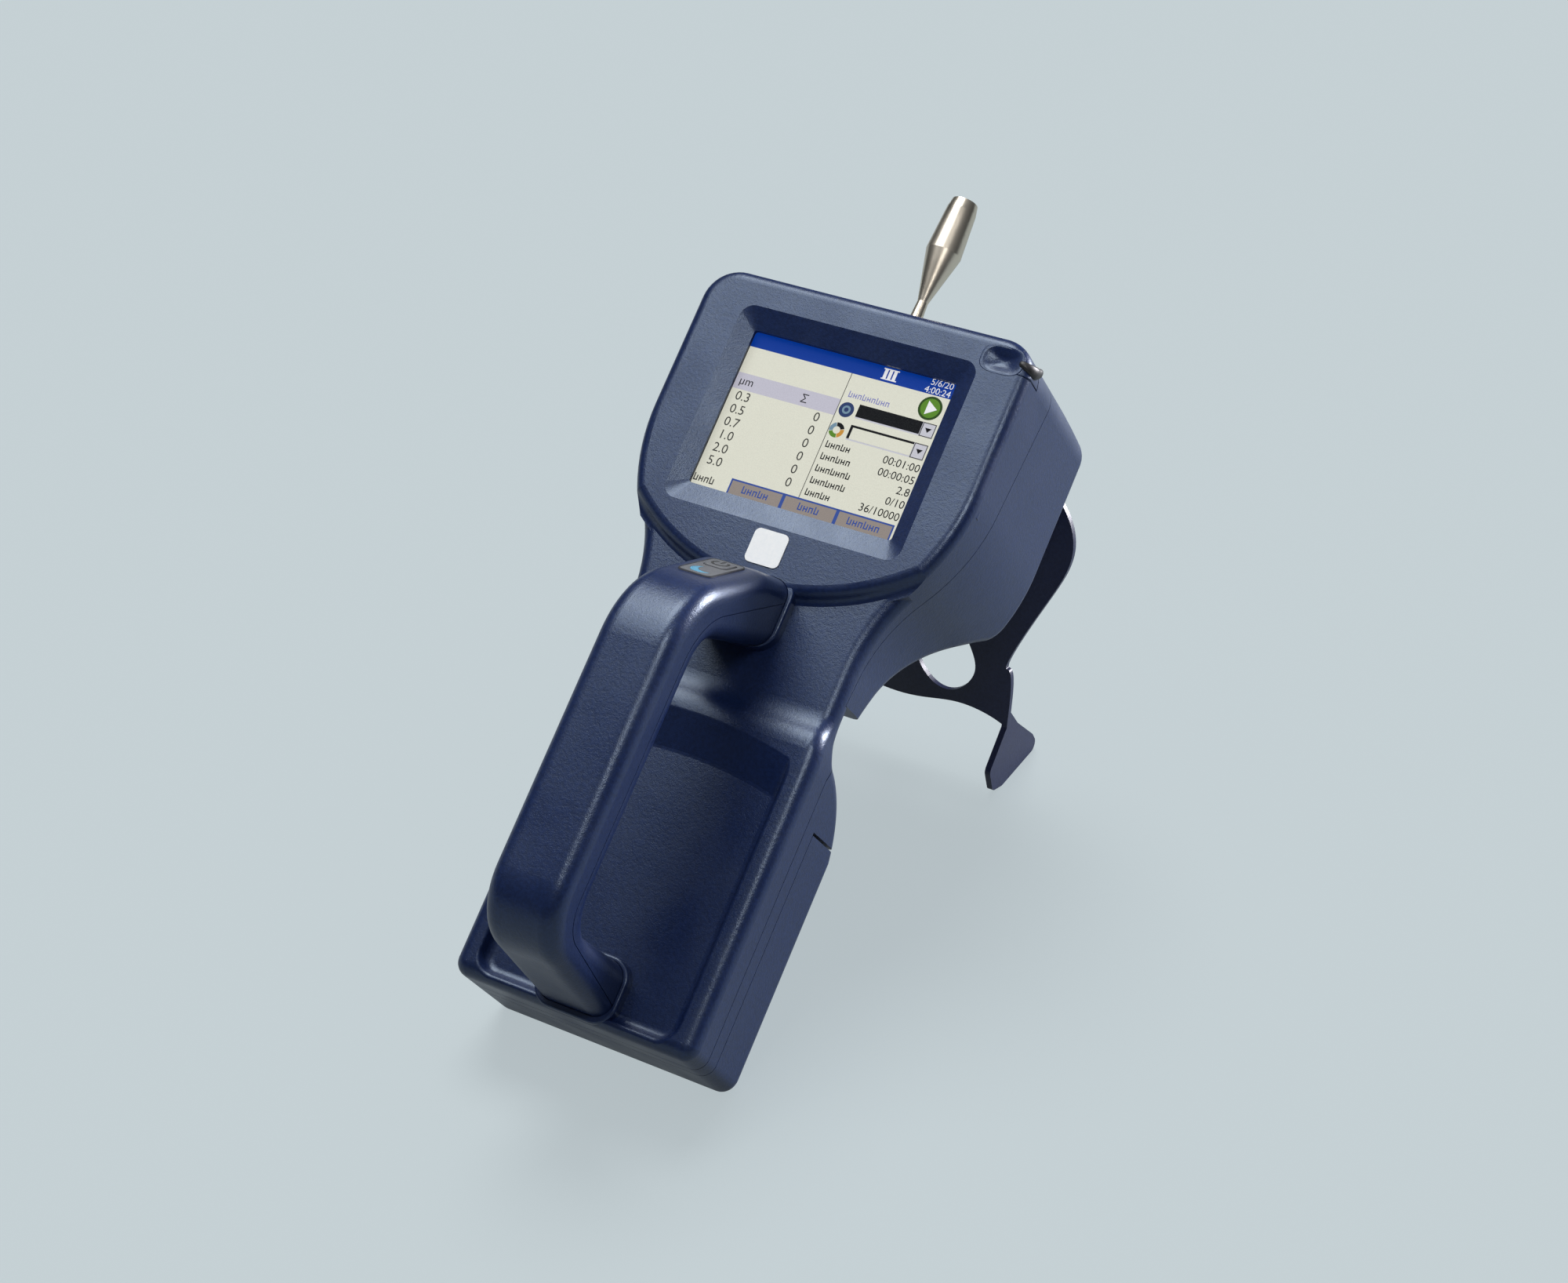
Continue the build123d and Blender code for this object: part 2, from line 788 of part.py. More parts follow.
def pad_prism(sketch, low, high):
    """A sketch on the arm's top, carried between two heights above its surface."""
    return extrude(pad_plane(low) * sketch, high - low)


def crescent(margin):
    """The moon-shaped status light, one disc bitten by another."""
    disc = Pos(0, lens_along) * Circle(lens_radius + margin)
    bite = Pos(lens_bite_shift, lens_along + lens_bite_shift) * Circle(lens_bite_radius - margin)
    return disc - bite


def handle_outer_shell():
    """The front half of the handle, with the seat and posts of the power switch."""
    shell = handle_body() - handle_inner_zone(0)
    for side in (-1, 1):
        for end in (-1, 1):
            post = Pos(side * switch_post_x, end * switch_post_y) * Circle(switch_post_radius)
            shell = shell + pad_prism(post, -switch_board_depth, -handle_wall / 2)
    seat = RectangleRounded(pad_width, pad_length, pad_corner_radius)
    window = RectangleRounded(2 * pad_window_half_width, pad_length - 2 * pad_ledge, pad_corner_radius)
    shell = shell - pad_prism(seat, -pad_sink, handle_wall)
    return shell - pad_prism(window, -2 * handle_wall, 0)


def handle_inner_shell():
    """The rear half of the handle, which is screwed to the housing."""
    shell = handle_body() & handle_inner_zone(handle_seam_gap)
    for z in (handle_screw_top, handle_screw_foot):
        boss = rod((0, face_setback, z), (0, -1, 0), handle_boss_radius, handle_screw_length)
        shell = shell + (boss & handle_solid(handle_wall / 2) & handle_inner_zone(handle_seam_gap))
    for z in (handle_screw_top, handle_screw_foot):
        hole = rod((0, face_setback, z), (0, -1, 0), handle_screw_radius + screw_clearance,
                   handle_screw_length - handle_wall)
        shell = shell - hole
    return shell


def handle_screws():
    """Two screws from inside the housing into the handle's roots."""
    screws = []
    for z, inner in ((handle_screw_top, face_setback + wall), (handle_screw_foot, pan_depth + wall)):
        shaft = rod((0, inner, z), (0, -1, 0), handle_screw_radius, handle_screw_length - wall - handle_wall)
        head = rod((0, inner, z), (0, 1, 0), handle_screw_head_radius, handle_screw_head_height)
        screws.append(shaft + head)
    return screws


# ---------------------------------------------------------------- power switch
def button_panel():
    """The thin panel on the handle, with openings for the button and the light."""
    sheet = RectangleRounded(pad_width - 2 * panel_gap, pad_length - 2 * panel_gap, pad_corner_radius)
    button = RectangleRounded(button_width, button_length, button_corner_radius)
    opening = Pos(0, button_along) * offset(button, button_clearance)
    return pad_prism(sheet - opening - crescent(panel_gap), -pad_sink, pad_proud)


def power_button():
    """The key cap with its hidden flange and stem."""
    outline = Pos(0, button_along) * RectangleRounded(button_width, button_length, button_corner_radius)
    flange_low = -pad_sink - button_clearance - button_flange_thickness
    cap = pad_prism(outline, flange_low, button_proud)
    top = cap.faces().sort_by_distance(pad_plane(button_proud).origin + pad_plane().y_dir * button_along)[0]
    cap = fillet(top.edges(), button_crown_radius)
    flange = pad_prism(offset(outline, button_flange), flange_low, flange_low + button_flange_thickness)
    stem = pad_prism(Pos(0, button_along) * Circle(button_stem_radius), -button_stem_end, flange_low)
    return cap + flange + stem


def status_lens():
    """The clear light guide behind the crescent."""
    return pad_prism(crescent(0), -switch_board_depth, pad_proud)


def switch_board():
    """The small board under the button, with its key switch."""
    board = Rectangle(2 * switch_board_half_width, 2 * switch_board_half_length)
    low = -switch_board_depth - switch_board_thickness
    plate = pad_prism(board, low, -switch_board_depth)
    switch_low = -switch_board_depth
    switch_top = -button_stem_end - button_travel - switch_rest_gap
    switch = pad_prism(Pos(0, button_along) * Rectangle(switch_side, switch_side), switch_low, switch_top)
    return plate + switch


# ---------------------------------------------------------------- rear shells and battery door
def rear_head_shell():
    """The back of the head, with screw towers, hinge lugs and the inlet seat."""
    shell = (housing_form() - housing_cavity()) & rear_zone(seam_gap)
    room = housing_block(wall / 2)
    for x, z in screw_places():
        tower = rod((x, chassis_y + chassis_thickness, z), (0, 1, 0), boss_radius, head_depth)
        shell = shell + (tower & room)
    seat = rod((0, probe_y, head_top - 2 * rear_top_drop), (0, 0, 1), fitting_seat_radius,
               fitting_seat - head_top + 2 * rear_top_drop)
    shell = shell + ((seat & rear_zone(seam_gap)) - housing_cavity())
    for x0, x1 in lug_spans():
        lug = rod((x0, hinge_y, hinge_z), (1, 0, 0), knuckle_radius, lug_length)
        neck = block(x0, x1, head_depth - wall / 2, hinge_y,
                     hinge_z - knuckle_radius, hinge_z + knuckle_radius)
        shell = shell + lug + neck
    for x, z in screw_places():
        shell = shell - rod((x, 0, z), (0, 1, 0), screw_radius + screw_clearance, head_depth)
        shell = shell - rod((x, screw_head_y, z), (0, 1, 0), boss_bore, head_depth)
    shell = shell - rod((0, probe_y, optics_high), (0, 0, 1), fitting_radius + fitting_clearance, head_top)
    outlet = tube_radius + fitting_clearance
    shell = shell - rod((exhaust_x, head_depth / 2, pump_z), (0, 1, 0), outlet, head_depth)
    pin_start = (-head_half_width, hinge_y, hinge_z)
    return shell - rod(pin_start, (1, 0, 0), hinge_pin_radius, 2 * head_half_width)


def lug_spans():
    """The four hinge lugs on the back of the head, as (x0, x1)."""
    outer = hinge_inner_x + knuckle_length + 2 * hinge_side_gap
    right = [(hinge_inner_x - lug_length, hinge_inner_x), (outer, outer + lug_length)]
    return right + [(-x1, -x0) for x0, x1 in right]


def lower_rear_shell():
    """The rear frame of the base, with the battery tray and the door's rails."""
    form = housing_form()
    shell = (form - housing_cavity()) & base_zone(seam_gap)
    door_room = block(-head_half_width, head_half_width, door_front_y - door_clearance, 2 * base_depth,
                      2 * rear_bottom, door_top + door_slot)
    shell = shell - door_room
    tray_front = door_front_y - door_clearance - tray_thickness
    inner = base_half_width - wall
    tray = block(-inner - wall / 2, inner + wall / 2, tray_front, door_front_y - door_clearance,
                 rear_bottom, tray_top)
    shell = shell + (tray & form)
    for side in (-1, 1):
        outer_x = side * (inner - door_clearance)
        inner_x = side * (inner - door_clearance - rail_thickness)
        shell = shell + block(min(outer_x, inner_x), max(outer_x, inner_x), tray_front + tray_thickness / 2,
                              door_front_y - door_clearance + rail_depth, rail_low, rail_high)
    return shell


def battery_door():
    """The sliding cover round the battery: back, sides and bottom."""
    cover = housing_form() - housing_cavity()
    return cover & block(-head_half_width, head_half_width, door_front_y, 2 * base_depth,
                         2 * rear_bottom, door_top)


def battery_pack():
    """Round cells side by side under one wrap."""
    front = door_front_y - door_clearance
    pitch = 2 * battery_half_width / battery_cells
    wrap = None
    for index in range(battery_cells):
        x = -battery_half_width + pitch * (index + 0.5)
        cell = rod((x, front + battery_depth / 2, battery_low), (0, 0, 1), battery_depth / 2,
                   battery_high - battery_low)
        wrap = cell if wrap is None else wrap + cell
    flat = block(-battery_half_width + pitch / 2, battery_half_width - pitch / 2, front,
                 front + battery_depth - battery_dip, battery_low, battery_high)
    return wrap + flat


def battery_contacts():
    """The connector block between the pack and the tray."""
    front = door_front_y - door_clearance
    return block(-contact_half_width, contact_half_width, front, front + contact_depth,
                 battery_high, battery_high + contact_height)


# ---------------------------------------------------------------- display
def display_gasket():
    """The thin frame between the bezel and the glass."""
    outer = screen_rectangle(screen_glass_margin, screen_glass_margin, window_corner_radius)
    inner = screen_rectangle(0, 0, window_corner_radius)
    front = bezel_depth + bezel_lip
    return front_prism(outer - inner, front, front + gasket_thickness)


def touch_screen():
    """The glass over the display."""
    front = bezel_depth + bezel_lip + gasket_thickness
    outline = screen_rectangle(screen_glass_margin, screen_glass_margin, window_corner_radius)
    return front_prism(outline, front, front + glass_thickness)


def lcd_panel():
    """The display module behind the glass."""
    front = bezel_depth + bezel_lip + gasket_thickness + glass_thickness + lcd_gap
    outline = screen_rectangle(screen_glass_margin, screen_glass_margin, window_corner_radius)
    return front_prism(outline, front, front + lcd_thickness)


def badge_plate():
    """The bare plate under the display."""
    outline = Pos(0, badge_height) * RectangleRounded(*badge_size, badge_radius)
    return front_prism(outline, badge_sink - badge_thickness, badge_sink)


# ---------------------------------------------------------------- boards and chassis
def screw_plate(y, thickness, low, high, hole_radius):
    """A flat plate held by the four long screws."""
    height = high - low
    sheet = Pos(0, low + height / 2) * RectangleRounded(2 * board_half_width, height, board_corner_radius)
    for x, z in screw_places():
        sheet = sheet - Pos(x, z) * Circle(hole_radius)
    return front_prism(sheet, y, y + thickness)


def main_circuit_board():
    """The main board with its larger chips."""
    board = screw_plate(board_y, board_thickness, board_low, board_high, chassis_hole_radius)
    back = board_y + board_thickness
    for x, z, width, height, rise in chip_sizes:
        board = board + block(x - width / 2, x + width / 2, back, back + rise,
                              z - height / 2, z + height / 2)
    return board


def board_spacers():
    """Four sleeves between the board and the chassis."""
    sleeves = []
    start = board_y + board_thickness
    for x, z in screw_places():
        sleeve = rod((x, start, z), (0, 1, 0), spacer_radius, chassis_y - start)
        sleeves.append(sleeve - rod((x, start, z), (0, 1, 0), chassis_hole_radius, chassis_y))
    return sleeves


def chassis_plate():
    """The metal plate that carries the optics and the pump."""
    return screw_plate(chassis_y, chassis_thickness, chassis_low, board_high, chassis_hole_radius)


def shell_screws():
    """Four long screws from the back into the front shell."""
    screws = []
    for x, z in screw_places():
        shaft = rod((x, screw_end_y, z), (0, 1, 0), screw_radius, screw_head_y - screw_end_y)
        head = rod((x, screw_head_y, z), (0, 1, 0), screw_head_radius, screw_head_height)
        drive = rod((x, screw_head_y + screw_head_height / 2, z), (0, 1, 0), screw_radius, screw_head_height)
        screws.append(shaft + head - drive)
    return screws


# ---------------------------------------------------------------- sensor and air path
def chassis_back():
    """Depth of the chassis plate's rear face."""
    return chassis_y + chassis_thickness


def optics_block():
    """The machined chamber where the air crosses the laser beam."""
    front = chassis_back()
    body = block(-optics_half_width, optics_half_width, front, front + optics_depth, optics_low, optics_high)
    body = fillet(body.edges().filter_by(Axis.Z), 2 * tube_bore)
    body = body - rod((0, probe_y, fitting_end), (0, 0, 1), fitting_radius + fitting_clearance, optics_depth)
    body = body - rod((0, probe_y, o_ring_height - o_ring_section), (0, 0, 1),
                      fitting_radius + 2 * o_ring_section + fitting_clearance, optics_depth)
    body = body - rod((0, probe_y, laser_height), (0, 0, 1), probe_stem_bore, optics_depth)
    beam_start = (-2 * optics_half_width, probe_y, laser_height)
    return body - rod(beam_start, (1, 0, 0), tube_bore, 4 * optics_half_width)


def laser_module():
    """The laser barrel on the right of the chamber."""
    barrel = rod((optics_half_width, probe_y, laser_height), (1, 0, 0), laser_radius, laser_length)
    cap = rod((optics_half_width, probe_y, laser_height), (1, 0, 0), laser_cap_radius, laser_cap_length)
    return barrel + cap


def light_trap():
    """The blackened cup that swallows the beam."""
    cup = rod((-optics_half_width, probe_y, laser_height), (-1, 0, 0), trap_radius, trap_length)
    start = (-optics_half_width, probe_y, laser_height)
    return cup - rod(start, (-1, 0, 0), tube_bore * 2, trap_length - wall)


def detector_board():
    """The photodetector board on the back of the chamber."""
    front = chassis_back() + optics_depth
    middle = (optics_low + optics_high) / 2
    plate = block(-detector_half_width, detector_half_width, front, front + detector_thickness,
                  middle - detector_half_width, middle + detector_half_width)
    can = rod((0, front, laser_height), (0, 1, 0), trap_radius, detector_thickness + detector_can)
    return plate + can


def pump_housing():
    """The blower's round housing, with its foot and two nipples."""
    length = pump_face_x - pump_outer_x
    body = rod((pump_outer_x, pump_y, pump_z), (1, 0, 0), pump_radius, length)
    foot = block(pump_outer_x, pump_face_x, chassis_back(), pump_y, pump_z - motor_foot_half_width,
                 pump_z + motor_foot_half_width)
    top = rod((pump_tube_x, pump_tube_y, pump_z), (0, 0, 1), nipple_radius, pump_radius)
    back = rod((pump_tube_x, pump_y, pump_z), (0, 1, 0), nipple_radius, pump_radius + nipple_length)
    body = body + foot + top + back
    room = rod((pump_outer_x + pump_wall, pump_y, pump_z), (1, 0, 0), pump_radius - pump_wall,
               length - 2 * pump_wall)
    body = body - room
    body = body - rod((pump_outer_x + pump_wall, pump_y, pump_z), (1, 0, 0),
                      motor_shaft_radius + fitting_clearance, length)
    body = body - rod((pump_tube_x, pump_tube_y, pump_z), (0, 0, 1), tube_bore, 2 * pump_radius)
    return body - rod((pump_tube_x, pump_y, pump_z), (0, 1, 0), tube_bore, 2 * pump_radius)


def impeller_start():
    """The outer end of the impeller, which runs in the middle of the pump's room."""
    room = pump_face_x - pump_outer_x - 2 * pump_wall
    return pump_outer_x + pump_wall + (room - impeller_length) / 2


def pump_impeller():
    """The bladed wheel on the motor's shaft."""
    start = impeller_start()
    wheel = rod((start, pump_y, pump_z), (1, 0, 0), impeller_hub_radius, impeller_length)
    wheel = wheel + rod((start, pump_y, pump_z), (1, 0, 0), impeller_radius, impeller_blade_thickness)
    for index in range(impeller_blades):
        blade = block(start, start + impeller_length, 0, impeller_radius - impeller_blade_thickness / 2,
                      -impeller_blade_thickness / 2, impeller_blade_thickness / 2)
        turn = Rot(360 / impeller_blades * index, 0, 0)
        wheel = wheel + Pos(0, pump_y, pump_z) * turn * blade
    return wheel - rod((start, pump_y, pump_z), (1, 0, 0), motor_shaft_radius, impeller_length)


def pump_motor():
    """The motor beside the pump, with its bearing bore and foot."""
    body = rod((pump_face_x, pump_y, pump_z), (1, 0, 0), motor_radius, motor_length)
    foot = block(pump_face_x, pump_face_x + motor_length, chassis_back(), pump_y,
                 pump_z - motor_foot_half_width, pump_z + motor_foot_half_width)
    bearing = rod((pump_face_x, pump_y, pump_z), (1, 0, 0), motor_shaft_radius + shaft_clearance, motor_bore)
    return body + foot - bearing


def motor_shaft():
    """The shaft that turns the impeller."""
    start = impeller_start()
    end = pump_face_x + motor_bore - shaft_end_gap
    return rod((start, pump_y, pump_z), (1, 0, 0), motor_shaft_radius, end - start)


def exhaust_filter():
    """The round filter that cleans the air before it leaves."""
    axis_y = chassis_back() + filter_cap_radius
    body = rod((filter_x0, axis_y, pump_z), (1, 0, 0), filter_radius, filter_x1 - filter_x0)
    for start in (filter_x0, filter_x1 - filter_cap_length):
        body = body + rod((start, axis_y, pump_z), (1, 0, 0), filter_cap_radius, filter_cap_length)
    for x in (transfer_x, exhaust_x):
        body = body + rod((x, axis_y, pump_z), (0, 1, 0), nipple_radius, filter_radius + nipple_length)
    return body


def hose(points):
    """A bent tube along square corners."""
    path = FilletPolyline(*points, radius=tube_bend)
    start = path @ 0
    section = Plane(start, z_dir=path % 0) * Circle(tube_radius)
    return sweep(section, path=path)


def sample_tube():
    """The tube from the chamber to the pump."""
    top = pump_z + pump_radius
    return hose([(-optics_half_width, pump_tube_y, pump_tube_z), (pump_tube_x, pump_tube_y, pump_tube_z),
                 (pump_tube_x, pump_tube_y, top)])


def transfer_tube():
    """The tube from the pump to the filter."""
    pump_end = pump_y + pump_radius + nipple_length
    filter_end = chassis_back() + filter_cap_radius + filter_radius + nipple_length
    return hose([(pump_tube_x, pump_end, pump_z), (pump_tube_x, transfer_y, pump_z),
                 (transfer_x, transfer_y, pump_z), (transfer_x, filter_end, pump_z)])


def exhaust_tube():
    """The outlet tube through the back of the head."""
    start = chassis_back() + filter_cap_radius + filter_radius + nipple_length
    tube = rod((exhaust_x, start, pump_z), (0, 1, 0), tube_radius, head_depth - start)
    return tube - rod((exhaust_x, start, pump_z), (0, 1, 0), tube_bore, head_depth)


# ---------------------------------------------------------------- inlet
def turned(points):
    """A part turned about the inlet's axis from (radius, height) points."""
    profile = Plane((0, probe_y, 0), x_dir=(1, 0, 0), z_dir=(0, -1, 0)) * polygon(*points)
    return revolve(profile, Axis((0, probe_y, 0), (0, 0, 1)))


def inlet_probe():
    """The tapered sampling probe, with its spigot and through bore."""
    return turned([
        (probe_bore_radius, probe_tip),
        (probe_mouth_radius, probe_tip),
        (probe_nose_radius, probe_nose),
        (probe_body_radius, probe_shoulder),
        (probe_stem_radius, probe_cone_foot),
        (probe_stem_foot, fitting_top),
        (probe_stem_radius, fitting_top),
        (probe_stem_radius, probe_spigot_end),
        (probe_stem_bore, probe_spigot_end),
        (probe_stem_bore, probe_bore_cone_end),
        (probe_bore_radius, probe_bore_end),
    ])


def inlet_fitting():
    """The threaded socket that holds the probe on top of the head."""
    return turned([
        (probe_stem_radius + spigot_clearance, fitting_top),
        (fitting_neck_radius, fitting_top),
        (fitting_neck_radius, fitting_seat + fitting_flange_thickness),
        (fitting_flange_radius, fitting_seat + fitting_flange_thickness),
        (fitting_flange_radius, fitting_seat),
        (fitting_radius, fitting_seat),
        (fitting_radius, fitting_end),
        (probe_stem_bore, fitting_end),
        (probe_stem_bore, probe_spigot_end),
        (probe_stem_radius + spigot_clearance, probe_spigot_end),
    ])


def inlet_o_ring():
    """The seal between the fitting and the chamber."""
    centre = fitting_radius + o_ring_section
    return Pos(0, probe_y, o_ring_height) * Torus(centre, o_ring_section)


# ---------------------------------------------------------------- stylus
def stylus():
    """The pointed pen with a cap that fills the corner of the head."""
    tip = stylus_cap_low - stylus_length
    shaft = rod((stylus_x, stylus_y, tip + stylus_tip_length), (0, 0, 1), stylus_radius,
                stylus_length - stylus_tip_length)
    point = Pos(stylus_x, stylus_y, tip + stylus_tip_length / 2) * Cone(
        stylus_tip_radius, stylus_radius, stylus_tip_length)
    proud = front_prism(offset(front_outline(), cap_proud), cap_front, cap_depth)
    corner = block(cap_inner_x, head_half_width + 2 * wall, cap_front, cap_depth,
                   stylus_cap_low, head_top + wall)
    cap = proud & corner
    cap = fillet(cap.edges().filter_by(GeomType.CIRCLE), cap_edge_radius)
    return shaft + point + cap


# ---------------------------------------------------------------- tilt stand
def stand_plane(shift):
    """The stand's plane at its hinge: local x to the right, local y down the plate."""
    angle = math.radians(stand_angle)
    normal = Vector(0, math.cos(angle), math.sin(angle))
    return Plane(Vector(0, hinge_y, hinge_z) + normal * shift, x_dir=(1, 0, 0), z_dir=normal)


def down_stand(length, rise=0.0):
    """A point (y, z) some way down the stand, raised off its middle plane."""
    angle = math.radians(stand_angle)
    y = hinge_y + length * math.sin(angle) + rise * math.cos(angle)
    return (y, hinge_z - length * math.cos(angle) + rise * math.sin(angle))


def table_height(y):
    """Height of the table, in the upright frame, under a depth y."""
    lean = math.radians(recline)
    heel_y = base_depth - heel_radius
    tilt = math.atan2(front_bottom - rear_bottom, base_depth)
    heel_z = front_bottom - heel_y * math.tan(tilt) + heel_radius / math.cos(tilt)
    level = heel_z * math.cos(lean) - heel_y * math.sin(lean) - heel_radius
    return (level + y * math.sin(lean)) / math.cos(lean)


def stand_outline():
    """The plate with its shoulders, waist and two windows."""
    foot_x = stand_foot_x
    half = make_face([
        Line((0, stand_top), (stand_top_half_width, stand_top)),
        Spline((stand_top_half_width, stand_top), stand_shoulder, stand_flank, stand_waist,
               (foot_x, foot_top), tangents=((1, 1), (0, 1))),
        Line((foot_x, foot_top), (foot_x, stand_length)),
        Spline((foot_x, stand_length), stand_hem, (0, stand_hem_middle), tangents=((-1, -0.5), (-1, 0))),
        Line((0, stand_hem_middle), (0, stand_top)),
    ])
    half = half - make_face(Spline(*stand_hole, periodic=True))
    return half + mirror(half, about=Plane.YZ)


def foot_outline():
    """One bent-down foot seen from the side; its heel and toe lie on the table."""
    heel = (foot_heel_y, table_height(foot_heel_y))
    toe = (foot_toe_y, table_height(foot_toe_y))
    outline = polygon(
        down_stand(foot_gusset, -stand_thickness / 2), down_stand(foot_gusset, stand_thickness / 2),
        *foot_back, heel, toe, *foot_front, down_stand(stand_length, -stand_thickness / 2),
    )
    bend = outline.vertices().sort_by_distance((*foot_back[0], 0))[0]
    outline = fillet(bend, foot_back_bend)
    for y, z in (foot_back[1], heel, toe, *foot_front):
        outline = fillet(outline.vertices().sort_by_distance((y, z, 0))[0], foot_corner_radius)
    return outline


def tilt_stand():
    """The folding stand: plate, hinge knuckles and two feet."""
    plate = extrude(stand_plane(-stand_thickness / 2) * stand_outline(), stand_thickness)
    for side in (-1, 1):
        inner = min(side * stand_foot_x, side * (stand_foot_x - stand_thickness))
        plate = plate + side_prism(foot_outline(), inner, inner + stand_thickness)
        low = hinge_inner_x + hinge_side_gap
        start = low if side > 0 else -low - knuckle_length
        barrel = rod((start, hinge_y, hinge_z), (1, 0, 0), knuckle_radius, knuckle_length)
        web = Pos(start + knuckle_length / 2, stand_top / 2 + stand_thickness / 2) * Rectangle(
            knuckle_length, stand_top + stand_thickness)
        plate = plate + barrel + extrude(stand_plane(-stand_thickness / 2) * web, stand_thickness)
    bore = hinge_pin_radius + hinge_pin_clearance
    return plate - rod((-head_half_width, hinge_y, hinge_z), (1, 0, 0), bore, 2 * head_half_width)


def stand_hinge_pin():
    """The long pin through lugs and knuckles."""
    end = hinge_inner_x + knuckle_length + 2 * hinge_side_gap + lug_length
    return rod((-end, hinge_y, hinge_z), (1, 0, 0), hinge_pin_radius, 2 * end)


# ---------------------------------------------------------------- assembly
builders = [
    front_shell, rear_head_shell, lower_rear_shell, battery_door, handle_outer_shell, handle_inner_shell,
    handle_screws, button_panel, power_button, status_lens, switch_board, display_gasket, touch_screen,
    lcd_panel, badge_plate, main_circuit_board, board_spacers, chassis_plate, shell_screws, optics_block,
    laser_module, light_trap, detector_board, pump_housing, pump_impeller, pump_motor, motor_shaft,
    exhaust_filter, sample_tube, transfer_tube, exhaust_tube, inlet_probe, inlet_fitting, inlet_o_ring, stylus, tilt_stand,
    stand_hinge_pin, battery_pack, battery_contacts,
]


def as_solids(shape):
    """The separate solids of a node."""
    if isinstance(shape, list):
        return [solid for item in shape for solid in item.solids()]
    return list(shape.solids())


nodes = {make.__name__: Rot(-recline, 0, 0) * Compound(children=as_solids(make())) for make in builders}
boxes = [node.bounding_box() for node in nodes.values()]
middle_x = (min(b.min.X for b in boxes) + max(b.max.X for b in boxes)) / 2
middle_y = (min(b.min.Y for b in boxes) + max(b.max.Y for b in boxes)) / 2
floor_z = min(b.min.Z for b in boxes)
origin_shift = (-middle_x, -middle_y, -floor_z)

os.makedirs("parts", exist_ok=True)
for name, node in nodes.items():
    placed = Pos(*origin_shift) * node
    export_step(placed, f"parts/{name}.step")
print("origin shift", [round(value, 4) for value in origin_shift])
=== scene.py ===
# %% [markdown]
# # A handheld airborne particle counter
# The instrument lies back on its fold-out stand with its display lit.  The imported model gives
# every rigid part its true shape and place, so this lesson is about surfaces: moulded plastic
# with a fine grain, turned steel, a display picture made of thin layers, and soft studio light.

import json
import math

import bmesh
import bpy
import numpy as np
from mathutils import Matrix, Vector


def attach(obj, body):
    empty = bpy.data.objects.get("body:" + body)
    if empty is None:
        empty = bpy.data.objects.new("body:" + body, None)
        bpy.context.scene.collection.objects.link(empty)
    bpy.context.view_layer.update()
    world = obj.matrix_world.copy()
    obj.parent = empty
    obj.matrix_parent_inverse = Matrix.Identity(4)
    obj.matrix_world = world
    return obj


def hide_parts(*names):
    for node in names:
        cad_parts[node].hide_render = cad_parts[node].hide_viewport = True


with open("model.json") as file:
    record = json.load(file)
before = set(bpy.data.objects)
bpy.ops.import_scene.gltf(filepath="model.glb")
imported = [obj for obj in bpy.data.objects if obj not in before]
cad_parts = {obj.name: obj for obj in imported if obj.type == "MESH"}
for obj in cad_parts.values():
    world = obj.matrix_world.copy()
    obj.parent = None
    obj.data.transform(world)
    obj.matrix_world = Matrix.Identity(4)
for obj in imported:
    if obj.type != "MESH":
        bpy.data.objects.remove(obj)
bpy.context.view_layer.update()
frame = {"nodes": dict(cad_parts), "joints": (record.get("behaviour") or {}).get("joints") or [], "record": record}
nodes = frame["nodes"]
millimetre = 0.001

# %% [markdown]
# The instrument leans back, so most of its pieces are easiest to place in its own upright
# axes: right, up along the body, and out of the display.  The stylus slides along the body,
# so its joint gives the up axis, and the other two follow from it.

# %% The instrument's own axes
joints = {joint["name"]: joint for joint in frame["joints"]}
right = np.array([1.0, 0.0, 0.0])
up = np.array(joints["stylus_slide"]["axis"], float)
up = up / np.linalg.norm(up)
out = np.cross(right, up)


def points_of(node):
    """All corners of a node's mesh, as rows of x, y, z."""
    mesh = nodes[node].data
    flat = np.empty(len(mesh.vertices) * 3)
    mesh.vertices.foreach_get("co", flat)
    return flat.reshape(-1, 3)


def reach(node, axis):
    """The least and the greatest distance of a node's corners along an axis."""
    along = points_of(node) @ axis
    return along.min(), along.max()


def middle(node):
    """The middle of a node's span along right, up and out, as a point."""
    spans = [reach(node, axis) for axis in (right, up, out)]
    return sum((low + high) / 2 * axis for (low, high), axis in zip(spans, (right, up, out)))


print("lean from upright", round(math.degrees(math.acos(up[2])), 1))

# %% [markdown]
# ## The camera
# The camera looks down on the instrument from its right-hand side.  A long lens flattens the
# perspective, as a product shot does.  The place and the point it looks at are set first,
# and a small roll levels the picture.

# %% Camera
camera_place = Vector((0.41238, -0.68360, 0.63764))
camera_target = Vector((0.00549, 0.00512, 0.10174))
camera_roll = -0.665
focal_length = 67.18

camera_data = bpy.data.cameras.new("camera")
camera_data.lens = focal_length
camera_data.sensor_width = 36.0
camera = bpy.data.objects.new("camera", camera_data)
bpy.context.scene.collection.objects.link(camera)
aim = (camera_target - camera_place).to_track_quat("-Z", "Y").to_matrix().to_4x4()
roll = Matrix.Rotation(math.radians(camera_roll), 4, "Z")
camera.matrix_world = Matrix.Translation(camera_place) @ aim @ roll
bpy.context.scene.camera = camera

# %% [markdown]
# ## Floor and light
# The floor is one plain pale sheet.  It is a stage piece: it belongs to the picture and not
# to the instrument.  Its colour, not its lamps, makes it pale.

